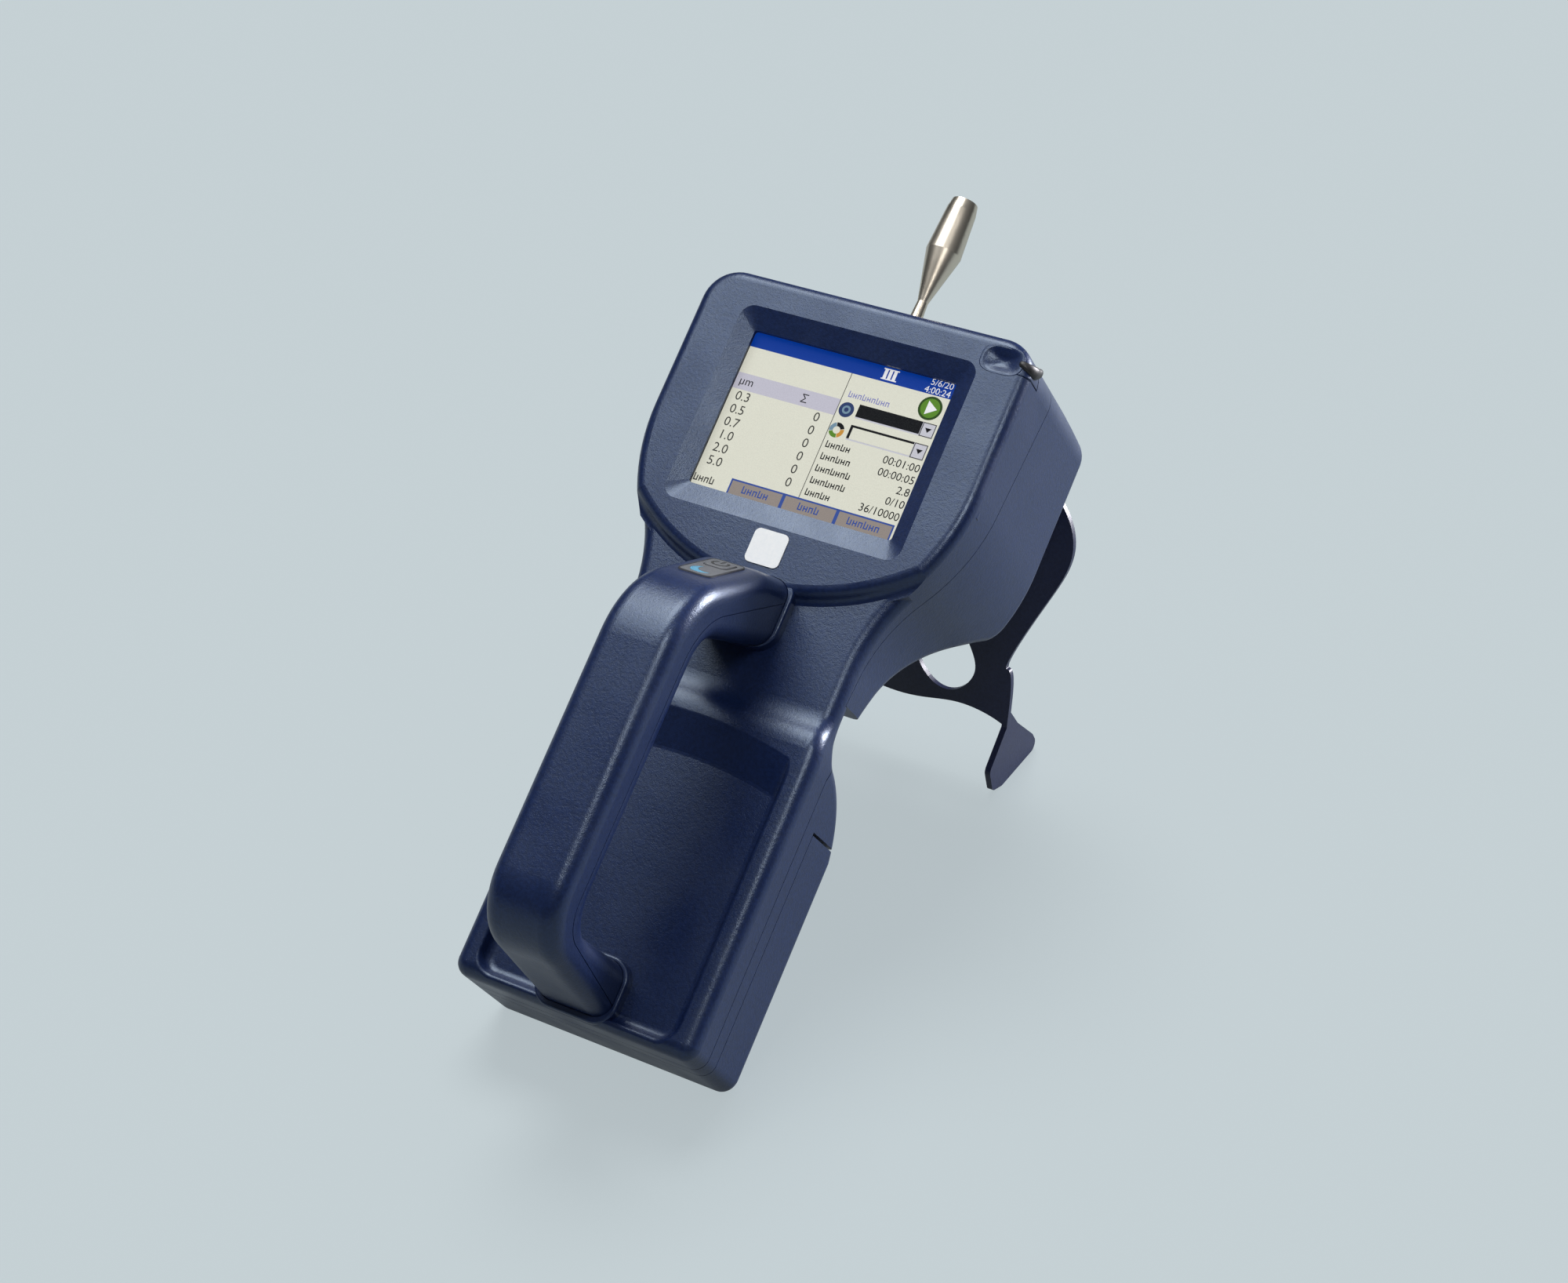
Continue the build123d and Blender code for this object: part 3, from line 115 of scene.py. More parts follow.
# %% Floor
scene = bpy.context.scene
scene.view_settings.view_transform = "Standard"
backdrop_colour = (0.610, 0.687, 0.716, 1.0)
backdrop_glow = (0.800, 0.905, 0.945, 1.0)
floor_camera_share = 0.55
floor_glossy_share = 0.25
floor_half = 6.0


def new_material(name):
    """An empty node material; returns it with its tree and its surface shader."""
    material = bpy.data.materials.new(name)
    material.use_nodes = True
    tree = material.node_tree
    shader = tree.nodes["Principled BSDF"]
    return material, tree, shader


def grid_mesh(name, points, wrap_u=False, wrap_v=False):
    """A mesh from a grid of points shaped (rows, columns, 3), joined into quads."""
    rows, columns = points.shape[:2]
    index = np.arange(rows * columns).reshape(rows, columns)
    if wrap_u:
        index = np.vstack([index, index[:1]])
    if wrap_v:
        index = np.hstack([index, index[:, :1]])
    quads = np.stack([index[:-1, :-1], index[:-1, 1:], index[1:, 1:], index[1:, :-1]], axis=-1)
    mesh = bpy.data.meshes.new(name)
    mesh.from_pydata(points.reshape(-1, 3).tolist(), [], quads.reshape(-1, 4).tolist())
    return mesh


def link(name, mesh, material):
    """An object at the origin that shows a mesh in a material."""
    mesh.materials.append(material)
    piece = bpy.data.objects.new(name, mesh)
    scene.collection.objects.link(piece)
    return piece


floor_material, floor_tree, floor_shader = new_material("pale_floor")
floor_shader.inputs["Base Color"].default_value = backdrop_colour
floor_shader.inputs["Roughness"].default_value = 0.9
corner = np.array([-floor_half, floor_half])
floor_x, floor_y = np.meshgrid(corner, corner, indexing="ij")
floor_points = np.stack([floor_x, floor_y, np.zeros((2, 2))], axis=-1)
floor = link("floor", grid_mesh("floor", floor_points), floor_material)

# %% [markdown]
# A plain sheet under lamps always fades from one side to the other.  So part of the floor's
# tone is its own glow, seen only by the camera and in glossy reflections, and the rest still
# takes the instrument's shadow.

# %% Even tone for the floor
ray_kind = floor_tree.nodes.new("ShaderNodeLightPath")
camera_part = floor_tree.nodes.new("ShaderNodeMath")
camera_part.operation = "MULTIPLY_ADD"
camera_part.inputs[1].default_value = floor_camera_share
floor_tree.links.new(ray_kind.outputs["Is Camera Ray"], camera_part.inputs[0])
glossy_part = floor_tree.nodes.new("ShaderNodeMath")
glossy_part.operation = "MULTIPLY"
glossy_part.inputs[1].default_value = floor_glossy_share
floor_tree.links.new(ray_kind.outputs["Is Glossy Ray"], glossy_part.inputs[0])
floor_tree.links.new(glossy_part.outputs["Value"], camera_part.inputs[2])
even_floor = floor_tree.nodes.new("ShaderNodeEmission")
even_floor.inputs["Color"].default_value = backdrop_glow
floor_mix = floor_tree.nodes.new("ShaderNodeMixShader")
floor_tree.links.new(camera_part.outputs["Value"], floor_mix.inputs["Fac"])
floor_tree.links.new(floor_shader.outputs["BSDF"], floor_mix.inputs[1])
floor_tree.links.new(even_floor.outputs["Emission"], floor_mix.inputs[2])
floor_tree.links.new(floor_mix.outputs["Shader"],
                     floor_tree.nodes["Material Output"].inputs["Surface"])

print("floor shares", floor_camera_share, floor_glossy_share)

# %% [markdown]
# The room is a dim dome, dark at the horizon and paler overhead, so that glossy plastic has
# something to reflect in every direction.

# %% World
world = bpy.data.worlds.new("studio")
scene.world = world
world.use_nodes = True
sky_tree = world.node_tree
sky_place = sky_tree.nodes.new("ShaderNodeTexCoord")
sky_axes = sky_tree.nodes.new("ShaderNodeSeparateXYZ")
sky_tree.links.new(sky_place.outputs["Generated"], sky_axes.inputs["Vector"])
sky_ramp = sky_tree.nodes.new("ShaderNodeValToRGB")
sky_ramp.color_ramp.elements[0].position = 0.05
sky_ramp.color_ramp.elements[0].color = (0.14, 0.15, 0.17, 1.0)
sky_ramp.color_ramp.elements[1].position = 1.0
sky_ramp.color_ramp.elements[1].color = (0.90, 0.95, 1.0, 1.0)
sky_tree.links.new(sky_axes.outputs["Z"], sky_ramp.inputs["Fac"])
world_light = sky_tree.nodes["Background"]
sky_tree.links.new(sky_ramp.outputs["Color"], world_light.inputs["Color"])
world_light.inputs["Strength"].default_value = 0.20


# %% [markdown]
# A broad sun gives the soft shadow.  Three flat boxes are placed where the glossy plastic
# mirrors them: one overhead for the face, one at the right for the edges, and one low behind
# for the side.  They are linked to the instrument alone.

# %% Lamps
def aimed(lamp_data, name, place, target):
    """A lamp at a place, turned to face a target."""
    lamp = bpy.data.objects.new(name, lamp_data)
    scene.collection.objects.link(lamp)
    lamp.location = place
    lamp.rotation_euler = (Vector(target) - Vector(place)).to_track_quat("-Z", "Y").to_euler()
    return lamp


object_only = bpy.data.collections.new("object_only")
object_only.objects.link(floor)
object_only.collection_objects[0].light_linking.link_state = "EXCLUDE"


def soft_box(name, place, target, size, power, colour):
    """A flat lamp, size across and along, that leaves the floor's even tone alone."""
    lamp_data = bpy.data.lights.new(name, "AREA")
    lamp_data.energy = power
    lamp_data.color = colour
    lamp_data.shape = "RECTANGLE"
    lamp_data.size, lamp_data.size_y = size
    lamp = aimed(lamp_data, name, place, target)
    lamp.light_linking.receiver_collection = object_only
    return lamp


def broad_sun(name, place, target, strength, spread, colour):
    """An even light from one side; a wide spread in degrees makes its shadows soft."""
    lamp_data = bpy.data.lights.new(name, "SUN")
    lamp_data.energy = strength
    lamp_data.color = colour
    lamp_data.angle = math.radians(spread)
    return aimed(lamp_data, name, place, target)


centre = (0.0, 0.0, 0.10)
head_centre = (0.0, 0.08, 0.17)
broad_sun("key_light", (-0.30, 0.40, 1.30), centre, 1.05, 34.0, (1.0, 0.99, 0.96))
soft_box("overhead_box", (-0.32, 0.10, 1.05), head_centre, (1.0, 0.66), 8.0, (0.97, 0.99, 1.0))
soft_box("right_box", (0.52, -0.42, 1.10), head_centre, (0.30, 0.30), 3.6, (1.0, 0.99, 0.97))
side_box = soft_box("side_box", (0.75, 1.05, 0.34), (0.06, 0.08, 0.20), (0.45, 0.45), 30.0, (0.97, 0.95, 1.0))
no_probe = bpy.data.collections.new("side_receivers")
for place, hidden in enumerate((floor, nodes["inlet_probe"])):
    no_probe.objects.link(hidden)
    no_probe.collection_objects[place].light_linking.link_state = "EXCLUDE"
side_box.light_linking.receiver_collection = no_probe

# %% [markdown]
# ## Moulded plastic
# The housing is navy plastic with a fine, even grain from the mould.  A grain is far too
# small to model, so two sizes of noise make a bump, and a third shifts the roughness a
# little so that highlights break up.

# %% Navy plastic
def add_node(tree, kind, **values):
    """A node of a kind, with its named inputs set."""
    node = tree.nodes.new(kind)
    for label, value in values.items():
        node.inputs[label.replace("_", " ")].default_value = value
    return node


def noise(tree, place, scale, detail=2.0):
    """Noise in object coordinates; scale is in cells per metre."""
    texture = add_node(tree, "ShaderNodeTexNoise", Scale=scale, Detail=detail)
    tree.links.new(place.outputs["Object"], texture.inputs["Vector"])
    return texture


def ramp(tree, source, low, high, start=0.35, end=0.65):
    """A number from source stretched to run from low to high."""
    node = tree.nodes.new("ShaderNodeMapRange")
    node.inputs["From Min"].default_value = start
    node.inputs["From Max"].default_value = end
    node.inputs["To Min"].default_value = low
    node.inputs["To Max"].default_value = high
    tree.links.new(source, node.inputs["Value"])
    return node.outputs["Result"]


def mixed_colour(tree, share, first, second):
    """Two colours mixed by a share from 0 to 1."""
    node = tree.nodes.new("ShaderNodeMix")
    node.data_type = "RGBA"
    node.inputs[6].default_value = (*first, 1.0)
    node.inputs[7].default_value = (*second, 1.0)
    tree.links.new(share, node.inputs[0])
    return node.outputs[2]


def grained_plastic(name, colour, lighter, roughness, grain_height, coarse=900.0, fine=2400.0):
    """Plastic with a moulded grain: two noises as bump, one as a change of roughness."""
    material, tree, shader = new_material(name)
    place = tree.nodes.new("ShaderNodeTexCoord")
    coarse_grain = noise(tree, place, coarse)
    fine_grain = noise(tree, place, fine)
    patches = noise(tree, place, 60.0)
    height = tree.nodes.new("ShaderNodeMath")
    height.operation = "ADD"
    tree.links.new(coarse_grain.outputs["Fac"], height.inputs[0])
    tree.links.new(fine_grain.outputs["Fac"], height.inputs[1])
    bump = add_node(tree, "ShaderNodeBump", Strength=1.0, Distance=grain_height)
    tree.links.new(height.outputs["Value"], bump.inputs["Height"])
    tree.links.new(bump.outputs["Normal"], shader.inputs["Normal"])
    colour_share = ramp(tree, coarse_grain.outputs["Fac"], 0.0, 1.0)
    tree.links.new(mixed_colour(tree, colour_share, colour, lighter), shader.inputs["Base Color"])
    rough = ramp(tree, patches.outputs["Fac"], roughness - 0.03, roughness + 0.05)
    tree.links.new(rough, shader.inputs["Roughness"])
    return material


navy_plastic = grained_plastic("navy_plastic", (0.0046, 0.0115, 0.050), (0.0072, 0.0175, 0.073),
                               0.33, 0.00005)
navy_shader = navy_plastic.node_tree.nodes["Principled BSDF"]
navy_shader.inputs["Specular IOR Level"].default_value = 0.75
navy_shader.inputs["Specular Tint"].default_value = (0.68, 0.82, 1.0, 1.0)
dark_stand = grained_plastic("dark_stand", (0.010, 0.014, 0.045), (0.014, 0.020, 0.060), 0.38, 0.00003)
black_plastic = grained_plastic("black_plastic", (0.010, 0.010, 0.012), (0.016, 0.016, 0.018), 0.40, 0.00003)
grey_panel = grained_plastic("grey_panel", (0.105, 0.110, 0.125), (0.120, 0.125, 0.140), 0.50, 0.00001)
white_badge = grained_plastic("white_badge", (0.76, 0.78, 0.80), (0.80, 0.81, 0.82), 0.45, 0.000004)
print("plastics", 5)


# %% [markdown]
# ## Metals, rubber and the parts inside
# Turned steel has very fine rings round its axis; here the probe gets only a coarser, mild change
# of colour and of roughness.  The rest of the metals and boards lie inside, and show only when the
# door slides off or the file is taken apart.

# %% Metals and inner finishes
def plain_finish(name, colour, lighter, roughness, metallic=0.0, scale=400.0):
    """A finish with a mild change of colour and of roughness."""
    material, tree, shader = new_material(name)
    place = tree.nodes.new("ShaderNodeTexCoord")
    grain = noise(tree, place, scale, detail=4.0)
    share = ramp(tree, grain.outputs["Fac"], 0.0, 1.0)
    tree.links.new(mixed_colour(tree, share, colour, lighter), shader.inputs["Base Color"])
    tree.links.new(ramp(tree, grain.outputs["Fac"], roughness - 0.04, roughness + 0.04),
                   shader.inputs["Roughness"])
    shader.inputs["Metallic"].default_value = metallic
    return material


probe_steel = plain_finish("polished_stainless", (0.78, 0.70, 0.58), (0.82, 0.74, 0.62), 0.30, 1.0,
                            60.0)
zinc_steel = plain_finish("zinc_steel", (0.50, 0.51, 0.52), (0.60, 0.61, 0.62), 0.32, 1.0)
bare_aluminium = plain_finish("bare_aluminium", (0.60, 0.61, 0.62), (0.68, 0.69, 0.70), 0.36, 1.0)
brass_barrel = plain_finish("brass_barrel", (0.60, 0.44, 0.18), (0.70, 0.52, 0.24), 0.28, 1.0)
motor_can = plain_finish("motor_can", (0.42, 0.43, 0.44), (0.50, 0.51, 0.52), 0.30, 1.0)
black_rubber = plain_finish("black_rubber", (0.012, 0.012, 0.012), (0.020, 0.020, 0.020), 0.70)
green_board = plain_finish("green_board", (0.010, 0.085, 0.030), (0.014, 0.110, 0.042), 0.38)
white_nylon = plain_finish("white_nylon", (0.66, 0.66, 0.63), (0.72, 0.72, 0.70), 0.46)
clear_tube = plain_finish("clear_tube", (0.50, 0.53, 0.54), (0.58, 0.60, 0.60), 0.30)
battery_wrap = plain_finish("battery_wrap", (0.016, 0.022, 0.040), (0.022, 0.030, 0.052), 0.34)
cyan_lens = plain_finish("cyan_lens", (0.060, 0.260, 0.420), (0.075, 0.300, 0.470), 0.30)
display_face = plain_finish("display_face", (0.700, 0.700, 0.610), (0.715, 0.715, 0.625), 0.45)

screen_glass, glass_tree, glass_shader = new_material("screen_glass")
glass_shader.inputs["Base Color"].default_value = (0.02, 0.03, 0.03, 1.0)
glass_shader.inputs["Specular IOR Level"].default_value = 0.15
glass_shader.inputs["Roughness"].default_value = 0.25
glass_shader.inputs["Alpha"].default_value = 0.05

finishes = {
    "navy_plastic": navy_plastic, "dark_stand": dark_stand, "polished_stainless": probe_steel,
    "zinc_steel": zinc_steel, "grey_panel": grey_panel, "cyan_lens": cyan_lens,
    "green_board": green_board, "black_rubber": black_rubber, "screen_glass": screen_glass,
    "display_face": display_face, "white_badge": white_badge, "white_nylon": white_nylon,
    "bare_aluminium": bare_aluminium, "brass_barrel": brass_barrel,
    "black_plastic": black_plastic,
    "motor_can": motor_can, "clear_tube": clear_tube, "battery_wrap": battery_wrap,
}
for part in frame["record"]["subparts"]:
    mesh = nodes[part["node"]].data
    mesh.materials.clear()
    mesh.materials.append(finishes[part["material_slot"]])
print("finishes", len(finishes))

# %% [markdown]
# ## The stylus end and its finger dish
# The end of the stylus is a small black bar that wraps round the right edge of the head, in
# a shallow dish for a fingertip.  The dish is a bowl whose slope is zero at its lip, so it
# melts into the face.  Places on the head are given in millimetres: right of the middle, in
# from the face, and down from the top.

# %% Places on the head
head_width = reach("front_shell", right)
face_out_reach = reach("front_shell", out)[1]
head_peak = reach("front_shell", up)[1]
head_half = np.ptp(head_width) / 2 / millimetre
edge_round = 4.0


def head_point(x, depth, down):
    """Points of the head from three arrays in millimetres."""
    x, depth, down = (np.asarray(value, float)[..., None] * millimetre for value in (x, depth, down))
    return (sum(head_width) / 2 + x) * right + (face_out_reach - depth) * out + (head_peak - down) * up


def face_depth(x):
    """How far in the face lies: flat, then a quarter round of edge_round at the side."""
    beyond = np.clip(x - (head_half - edge_round), 0.0, edge_round)
    return edge_round - np.sqrt(edge_round ** 2 - beyond ** 2)


def closed_rings(name, rings):
    """A closed mesh from rings of points, with its first and last ring filled."""
    mesh = grid_mesh(name, rings, wrap_v=True)
    rows, columns = rings.shape[:2]
    sheet = [tuple(polygon.vertices) for polygon in mesh.polygons]
    first = tuple(range(columns - 1, -1, -1))
    last = tuple(range((rows - 1) * columns, rows * columns))
    mesh.clear_geometry()
    mesh.from_pydata(rings.reshape(-1, 3).tolist(), [], sheet + [first, last])
    recalculated = bmesh.new()
    recalculated.from_mesh(mesh)
    bmesh.ops.recalc_face_normals(recalculated, faces=recalculated.faces)
    recalculated.to_mesh(mesh)
    recalculated.free()
    mesh.shade_smooth()
    return mesh


print("head half width", round(head_half, 1))

# %% [markdown]
# ### The dish
# Its outline is a rounded rectangle from powers of sine and cosine, and its depth falls as
# (1 - share squared) squared from the middle to the lip.

# %% Finger dish
dish_middle = (50.8, 8.4)
dish_half = (7.6, 5.0)
dish_squareness = 2 / 3
dish_drop = 2.1
dish_back = 0.4
dish_share = np.concatenate([np.linspace(0.02, 1.0, 24), np.linspace(1.0, 0.02, 24)])[:, None]
dish_turn = np.linspace(0.0, 2 * math.pi, 72, endpoint=False)[None, :]
side, rise = (np.sign(wave) * np.abs(wave) ** dish_squareness
              for wave in (np.cos(dish_turn), np.sin(dish_turn)))
dish_x = dish_middle[0] + dish_half[0] * dish_share * side
dish_down = dish_middle[1] + dish_half[1] * dish_share * rise
back_row = np.repeat([0.0, 1.0], 24)[:, None]
dish_depth = (face_depth(dish_x) - 0.04 + dish_drop * (1.0 - dish_share ** 2) ** 2
              + dish_back * back_row)
dish = link("finger_dish", closed_rings("finger_dish", head_point(dish_x, dish_depth, dish_down)),
            navy_plastic)
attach(dish, "housing")


def bowl_depth(x, down):
    """The depth of the bowl's front at a place, and zero outside its lip."""
    share = (np.abs((x - dish_middle[0]) / dish_half[0]) ** 3
             + np.abs((down - dish_middle[1]) / dish_half[1]) ** 3) ** (1 / 3)
    return dish_drop * (1.0 - np.minimum(share, 1.0) ** 2) ** 2


print("finger dish", len(dish.data.polygons), "faces")

# %% [markdown]
# ### The head of the stylus
# It fills the corner of the head, flush with the face and with the side.  At each angle of
# the corner's arc it is a loop: out along the face, round the edge, back along the side, and
# forward again inside.

# %% Stylus head
corner_round = 12.5
arc_x, arc_down = head_half - corner_round, corner_round
head_cap_width = 5.4
head_inner = head_half - head_cap_width + 0.25
head_back = 10.3
pen_body = joints["stylus_slide"]["child"]
arc_turn = np.radians(np.linspace(3.8, 52.5, 30))[:, None]
inner_radius = (head_inner - arc_x) / np.cos(arc_turn)
out_share = np.linspace(0.0, 1.0, 26)[None, :]
front_radius = inner_radius + (corner_round - inner_radius) * np.sin(out_share * math.pi / 2)
front_depth = edge_round - np.sqrt(
    edge_round ** 2 - np.clip(front_radius - corner_round + edge_round, 0.0, edge_round) ** 2)
front_bowl = bowl_depth(arc_x + front_radius * np.cos(arc_turn),
                        arc_down - front_radius * np.sin(arc_turn))
front_depth = np.maximum(front_depth, np.where(front_bowl > 0.0, front_bowl + dish_back + 0.05, 0.0))
loop_radius = np.hstack([front_radius, front_radius[:, ::-1]])
loop_depth = np.hstack([front_depth, np.full_like(front_depth, head_back)])
loop_x = arc_x + loop_radius * np.cos(arc_turn)
loop_down = arc_down - loop_radius * np.sin(arc_turn)
pen_head = link("stylus_head", closed_rings("stylus_head", head_point(loop_x, loop_depth, loop_down)),
                navy_plastic)
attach(pen_head, pen_body)
print("stylus head", len(pen_head.data.polygons), "faces")

# %% [markdown]
# ### The shaft
# The shaft is turned about its own line: a radius at each height, with a blunt point.  It
# stands for the plainer stylus of the frame, which it replaces.

# %% Stylus shaft
shaft_in = 6.6
shaft_down = np.array([11.7, 11.8, 12.4, 30.0, 53.8, 56.8, 59.2, 59.8])[:, None]
shaft_radius = np.array([1.4, 1.7, 1.8, 1.8, 1.8, 1.3, 0.8, 0.3])[:, None]
shaft_turn = np.linspace(0.0, 2 * math.pi, 28, endpoint=False)[None, :]
shaft_x = head_half - head_cap_width + 1.8 + shaft_radius * np.cos(shaft_turn)
shaft_depth = shaft_in + shaft_radius * np.sin(shaft_turn)
shaft_level = shaft_down + 0.0 * shaft_turn
pen_shaft = link("stylus_shaft", closed_rings("stylus_shaft", head_point(shaft_x, shaft_depth, shaft_level)),
                 black_plastic)
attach(pen_shaft, pen_body)
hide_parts("stylus")
print("stylus shaft", len(pen_shaft.data.polygons), "faces")

# %% [markdown]
# ### The end bar
# A fingertip pushes the black bar.  Its middle line runs along the face, round the edge and
# along the side, and its section is an ellipse that grows taller on the side.

# %% Stylus end bar
end_share = np.linspace(0.0, 1.0, 41)
line_x = np.interp(end_share, [0.0, 0.25, 0.38, 0.50, 1.0], [56.6, 58.8, 60.4, 61.3, 61.5])
line_depth = np.interp(end_share, [0.0, 0.25, 0.38, 0.50, 1.0], [0.2, 0.4, 1.2, 3.0, 9.4])
line_down = np.interp(end_share, [0.0, 0.42, 0.7, 1.0], [7.9, 8.7, 8.2, 6.4])
for value in (line_x, line_depth, line_down):
    value[:] = np.convolve(np.pad(value, 3, mode="edge"), np.ones(7) / 7, "valid")
side_share = np.clip((end_share - 0.25) / 0.35, 0.0, 1.0)[:, None]
round_end = np.sqrt(np.clip(1.0 - np.abs(2 * end_share - 1) ** 5, 0.0006, 1.0))[:, None]
bar_turn = np.linspace(0.0, 2 * math.pi, 24, endpoint=False)[None, :]
bar_tall = (1.35 + 0.75 * side_share) * round_end
bar_thick = 1.15 * round_end
bar_x = line_x[:, None] + bar_thick * np.cos(bar_turn) * side_share
bar_depth = line_depth[:, None] - bar_thick * np.cos(bar_turn) * (1.0 - side_share)
bar_down = line_down[:, None] + bar_tall * np.sin(bar_turn)
stylus_end = link("stylus_end", closed_rings("stylus_end", head_point(bar_x, bar_depth, bar_down)),
                  black_plastic)
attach(stylus_end, pen_body)
print("stylus end", len(stylus_end.data.polygons), "faces")

# %% [markdown]
# ## The display picture
# The lit display is drawn as thin flat layers between the panel and its glass, three
# hundredths of a millimetre apart.  Places on it are given in millimetres from the lower
# left corner of the window: `u` runs to the right and `v` up.  The page shows a table of
# particle sizes with their counts, and a column of settings beside it.

# %% Display helpers
glass_margin = 4.0 * millimetre
window_centre = middle("touch_screen")
window_half = np.array([np.ptp(reach("touch_screen", axis)) / 2 - glass_margin for axis in (right, up)])
panel_front = reach("lcd_panel", out)[1]
layer_step = 0.03 * millimetre
page_corner = (window_centre - window_half[0] * right - window_half[1] * up
               + (panel_front - window_centre @ out) * out)


def srgb(red, green, blue):
    """Screen colours from 0 to 255 as linear light."""
    share = np.array([red, green, blue]) / 255
    return tuple(np.where(share <= 0.04045, share / 12.92, ((share + 0.055) / 1.055) ** 2.4))


def page_point(u, v, layer):
    """A point of the page: u and v in millimetres, layer in steps off the panel."""
    return page_corner + (u * right + v * up) * millimetre + layer * layer_step * out


def lit_ink(name, colour):
    """A colour of the lit display: mostly its own glow, with a little of the room's light."""
    material, tree, shader = new_material(name)
    place = tree.nodes.new("ShaderNodeTexCoord")
    cells = noise(tree, place, 3000.0, detail=0.0)
    share = ramp(tree, cells.outputs["Fac"], 0.0, 1.0)
    glow = mixed_colour(tree, share, [0.93 * c for c in colour], colour)
    tree.links.new(glow, shader.inputs["Emission Color"])
    shader.inputs["Emission Strength"].default_value = 0.80
    shader.inputs["Base Color"].default_value = (*[0.22 * c for c in colour], 1.0)
    shader.inputs["Roughness"].default_value = 0.5
    shader.inputs["Specular IOR Level"].default_value = 0.05
    return material


ink_colours = {
    "cream": srgb(229, 229, 214), "blue_bar": srgb(4, 58, 158), "lavender": srgb(200, 198, 212),
    "white": srgb(245, 246, 250), "grey": srgb(62, 62, 60), "dark": srgb(10, 10, 16),
    "tab": srgb(152, 142, 136), "tab_line": srgb(58, 84, 160), "violet": srgb(140, 142, 196),
    "green": srgb(92, 140, 42), "deep_green": srgb(44, 74, 22), "icon_blue": srgb(44, 62, 108),
    "orange": srgb(206, 148, 62), "sky": srgb(120, 150, 170), "button": srgb(206, 206, 216),
}
inks = {name: lit_ink(f"display_{name}", colour) for name, colour in ink_colours.items()}
ink_names = list(inks)
page_shapes = []


def shape(ink, layer, outline):
    """Adds one flat shape to the page; its outline is a list of (u, v)."""
    page_shapes.append((ink_names.index(ink), [page_point(u, v, layer) for u, v in outline]))


def bar(ink, layer, u0, u1, v0, v1):
    """A rectangle on the page."""
    shape(ink, layer, [(u0, v0), (u1, v0), (u1, v1), (u0, v1)])


def frame_bar(ink, layer, u0, u1, v0, v1, width):
    """The outline of a rectangle as four thin bars."""
    bar(ink, layer, u0, u1, v0, v0 + width)
    bar(ink, layer, u0, u1, v1 - width, v1)
    bar(ink, layer, u0, u0 + width, v0, v1)
    bar(ink, layer, u1 - width, u1, v0, v1)


def arc_points(u, v, radius, start=0.0, end=360.0, steps=32):
    """Points on an arc round (u, v): (u + r cos t, v + r sin t) for t from start to end."""
    turn = np.radians(np.linspace(start, end, steps, endpoint=end - start < 360.0))
    return [(u + radius * math.cos(t), v + radius * math.sin(t)) for t in turn]


def disc(ink, layer, u, v, radius):
    """A filled circle on the page."""
    shape(ink, layer, arc_points(u, v, radius))


def sector_ring(ink, layer, u, v, outer, inner, start, end):
    """Part of a ring between two angles."""
    shape(ink, layer, arc_points(u, v, outer, start, end) + arc_points(u, v, inner, start, end)[::-1])


def word_marks(ink, layer, u, v, letters, height):
    """A made-up word: each mark is two stems joined at the top, middle or foot in turn."""
    pitch = 0.78 * height
    stem = 0.16 * height
    for index in range(letters):
        left = u + index * pitch
        far = left + pitch - 2.2 * stem
        tall = height if index % 3 == 0 else 0.74 * height
        bar(ink, layer, left, left + stem, v, v + tall)
        bar(ink, layer, far, far + stem, v, v + 0.74 * height)
        joint = v + (index % 3) * (0.74 * height - stem) / 2
        bar(ink, layer, left, far, joint, joint + stem)


number_pieces = []


def number(ink, layer, text, u, v, height, align="LEFT"):
    """Plain figures on the page; u is their left or right end and v their foot."""
    curve = bpy.data.curves.new("figures", "FONT")
    curve.body = text
    curve.align_x = align
    curve.size = height / 0.71
    curve.resolution_u = 3
    letters = bpy.data.objects.new("figures", curve)
    flat = bpy.data.meshes.new_from_object(letters)
    corners = np.array([tuple(vertex.co) for vertex in flat.vertices])
    faces = [tuple(polygon.vertices) for polygon in flat.polygons]
    places = [page_point(u + x, v + y, layer) for x, y, _ in corners]
    number_pieces.append((ink_names.index(ink), places, faces))
    bpy.data.objects.remove(letters)
    bpy.data.meshes.remove(flat)


print("window", np.round(2 * window_half / millimetre, 2), "inks", len(inks))

# %% The page itself
page_right = 74.0
page_left = -3.5
title_low = 52.1
column_edge = 38.3
tab_top = 6.1
row_pitch = 4.82
first_row = 32.7
figure_height = 3.3
sizes_micrometre = ("0.3", "0.5", "0.7", "1.0", "2.0", "5.0")

bar("cream", 1, page_left, 79.0, -2.0, title_low)
bar("blue_bar", 1, page_left, 79.0, title_low, 60.0)
bar("lavender", 2, page_left, column_edge, 36.5, 42.4)
bar("grey", 3, column_edge - 0.12, column_edge + 0.12, tab_top, title_low)
number("dark", 3, "\u00b5m", 0.6, 38.3, 3.0)
number("dark", 3, "\u03a3", 24.4, 37.8, 3.0)
for index, size in enumerate(sizes_micrometre):
    foot = first_row - index * row_pitch
    number("grey", 3, size, 1.6, foot, figure_height)
    number("grey", 3, "0", 33.8, foot, figure_height, "RIGHT")

# The open tab keeps the page's colour, and the other three are grey with a blue outline.
word_marks("grey", 3, -0.5, 2.0, 4, 2.6)
for start, end, letters in ((13.0, 33.2, 5), (33.2, 53.4, 4), (53.4, page_right, 6)):
    bar("tab", 2, start, end, -2.0, tab_top)
    frame_bar("tab_line", 3, start, end, -2.0, tab_top, 0.6)
    word_marks("tab_line", 3, (start + end) / 2 - letters * 1.0, 2.0, letters, 2.6)
print("left side", len(page_shapes), "shapes")

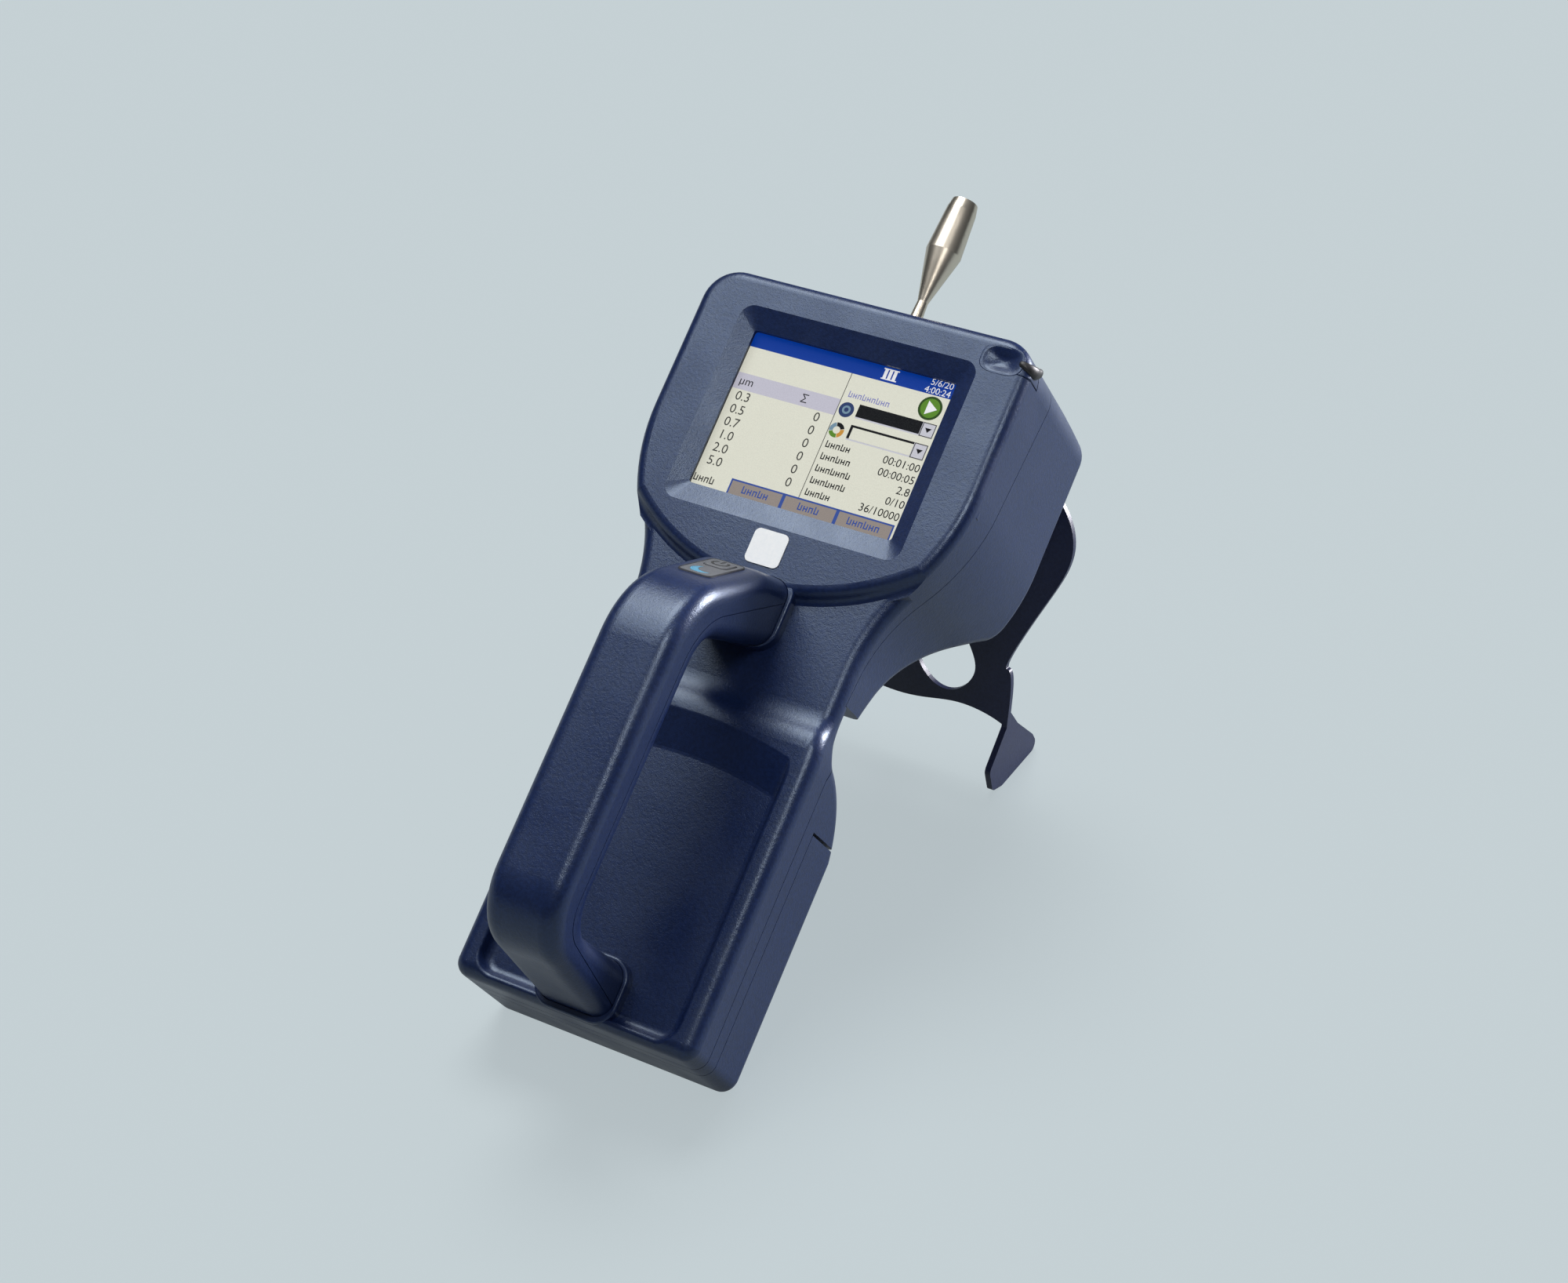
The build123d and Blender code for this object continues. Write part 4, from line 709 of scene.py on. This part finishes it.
# %% Settings column
word_marks("violet", 3, 40.2, 43.9, 9, 2.2)
disc("deep_green", 2, 69.3, 47.4, 4.2)
disc("green", 3, 69.3, 47.4, 3.4)
shape("white", 4, [(68.0, 44.9), (71.8, 47.4), (68.0, 49.9)])
disc("icon_blue", 2, 41.6, 39.4, 2.7)
disc("sky", 3, 41.6, 39.4, 1.5)
disc("icon_blue", 4, 41.6, 39.4, 0.8)
for ink, start in (("dark", 20.0), ("sky", 110.0), ("green", 200.0), ("orange", 290.0)):
    sector_ring(ink, 2, 41.2, 31.8, 2.7, 1.3, start, start + 86.0)
for low, high, filling in ((37.4, 42.4, "dark"), (29.5, 34.9, "cream")):
    bar("button", 2, 45.5, page_right, low, high)
    bar("dark", 3, 45.5, 69.0, low + 0.5, high)
    bar(filling, 4, 46.5, 69.0, low + 0.5, high - 0.8)
    frame_bar("grey", 5, 69.2, page_right, low, high, 0.3)
    level = (low + high) / 2
    shape("dark", 5, [(70.4, level + 0.7), (72.8, level + 0.7), (71.6, level - 0.9)])

settings = (("00:01:00", 5), ("00:00:05", 6), ("2.8", 7), ("0/10", 7), ("36/10000", 5))
for index, (value, letters) in enumerate(settings):
    foot = 25.2 - index * 4.4
    word_marks("dark", 3, 39.7, foot, letters, 2.4)
    number("dark", 3, value, 74.4, foot, 2.8, "RIGHT")

# A battery mark and two short lines of figures stand in the title bar.
for index in range(3):
    bar("white", 2, 49.0 + index * 1.7, 50.2 + index * 1.7, 53.2, 56.6)
bar("white", 2, 48.5, 54.2, 52.9, 53.3)
bar("white", 2, 48.5, 54.2, 56.5, 56.9)
number("white", 2, "5/6/20", 74.2, 55.4, 2.3, "RIGHT")
number("white", 2, "4:00:24", 74.2, 52.5, 2.3, "RIGHT")


def page_mesh():
    """One mesh of all flat shapes and figures, with an ink for each face."""
    corners, faces, ink_of_face = [], [], []
    pieces = [(ink, points, [tuple(range(len(points)))]) for ink, points in page_shapes] + number_pieces
    for ink, points, polygons in pieces:
        offset = len(corners)
        corners += [tuple(point) for point in points]
        faces += [tuple(offset + corner for corner in polygon) for polygon in polygons]
        ink_of_face += [ink] * len(polygons)
    mesh = bpy.data.meshes.new("display_page")
    mesh.from_pydata(corners, [], faces)
    mesh.polygons.foreach_set("material_index", ink_of_face)
    return mesh


page = bpy.data.objects.new("display_page", page_mesh())
for ink in inks.values():
    page.data.materials.append(ink)
scene.collection.objects.link(page)
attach(page, "housing")
print("page faces", len(page.data.polygons))

# %% [markdown]
# ## The switch on the handle
# The key moves straight into the handle, so its joint gives the direction that the panel
# faces.  The printed mark is a broken ring with a bar, and a dark line runs round the panel.

# %% Marks on the switch
face_out = -np.array(joints["button_press"]["axis"], float)
face_out = face_out / np.linalg.norm(face_out)
face_up = np.cross(face_out, right)
print_height = 0.03 * millimetre
black_ink = plain_finish("black_print", (0.010, 0.010, 0.012), (0.016, 0.016, 0.018), 0.45)


def top_middle(node):
    """The middle of a node's outline, on the top of its face."""
    spans = [reach(node, axis) for axis in (right, face_up)]
    flat = sum((low + high) / 2 * axis for (low, high), axis in zip(spans, (right, face_up)))
    return flat + (reach(node, face_out)[1] + print_height) * face_out


def strip_mesh(name, middle_point, outer, inner):
    """A flat strip between two outlines of (x, y) in millimetres round a middle."""
    loops = np.array([outer, inner]) * millimetre
    points = middle_point + loops[..., :1] * right + loops[..., 1:] * face_up
    return grid_mesh(name, points)


key_middle = top_middle("power_button")
ring = [arc_points(0.0, 0.0, radius, 128.0, 412.0, 40) for radius in (3.1, 2.2)]
ring_mark = link("power_ring", strip_mesh("power_ring", key_middle, *ring), black_ink)
stem_mark = link("power_stem", strip_mesh("power_stem", key_middle, [(-0.42, 3.3), (0.42, 3.3)],
                                          [(-0.42, 0.3), (0.42, 0.3)]), black_ink)
for mark in (ring_mark, stem_mark):
    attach(mark, "key")


def rounded_box(half_width, half_length, radius, steps=8):
    """A rectangle with round corners as a closed loop of points."""
    loop = []
    for quarter, (sign_x, sign_y) in enumerate(((1, 1), (-1, 1), (-1, -1), (1, -1))):
        centre_x, centre_y = sign_x * (half_width - radius), sign_y * (half_length - radius)
        loop += arc_points(centre_x, centre_y, radius, 90.0 * quarter, 90.0 * (quarter + 1), steps)
    return loop + loop[:1]


panel_half = [np.ptp(reach("button_panel", axis)) / 2 / millimetre for axis in (right, face_up)]
edge_width = 0.45
edge_outer = rounded_box(panel_half[0], panel_half[1], 2.4)
edge_inner = rounded_box(panel_half[0] - edge_width, panel_half[1] - edge_width, 2.4 - edge_width)
panel_edge = link("panel_edge", strip_mesh("panel_edge", top_middle("button_panel"), edge_outer, edge_inner),
                  black_ink)
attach(panel_edge, "housing")
print("switch marks", 3)
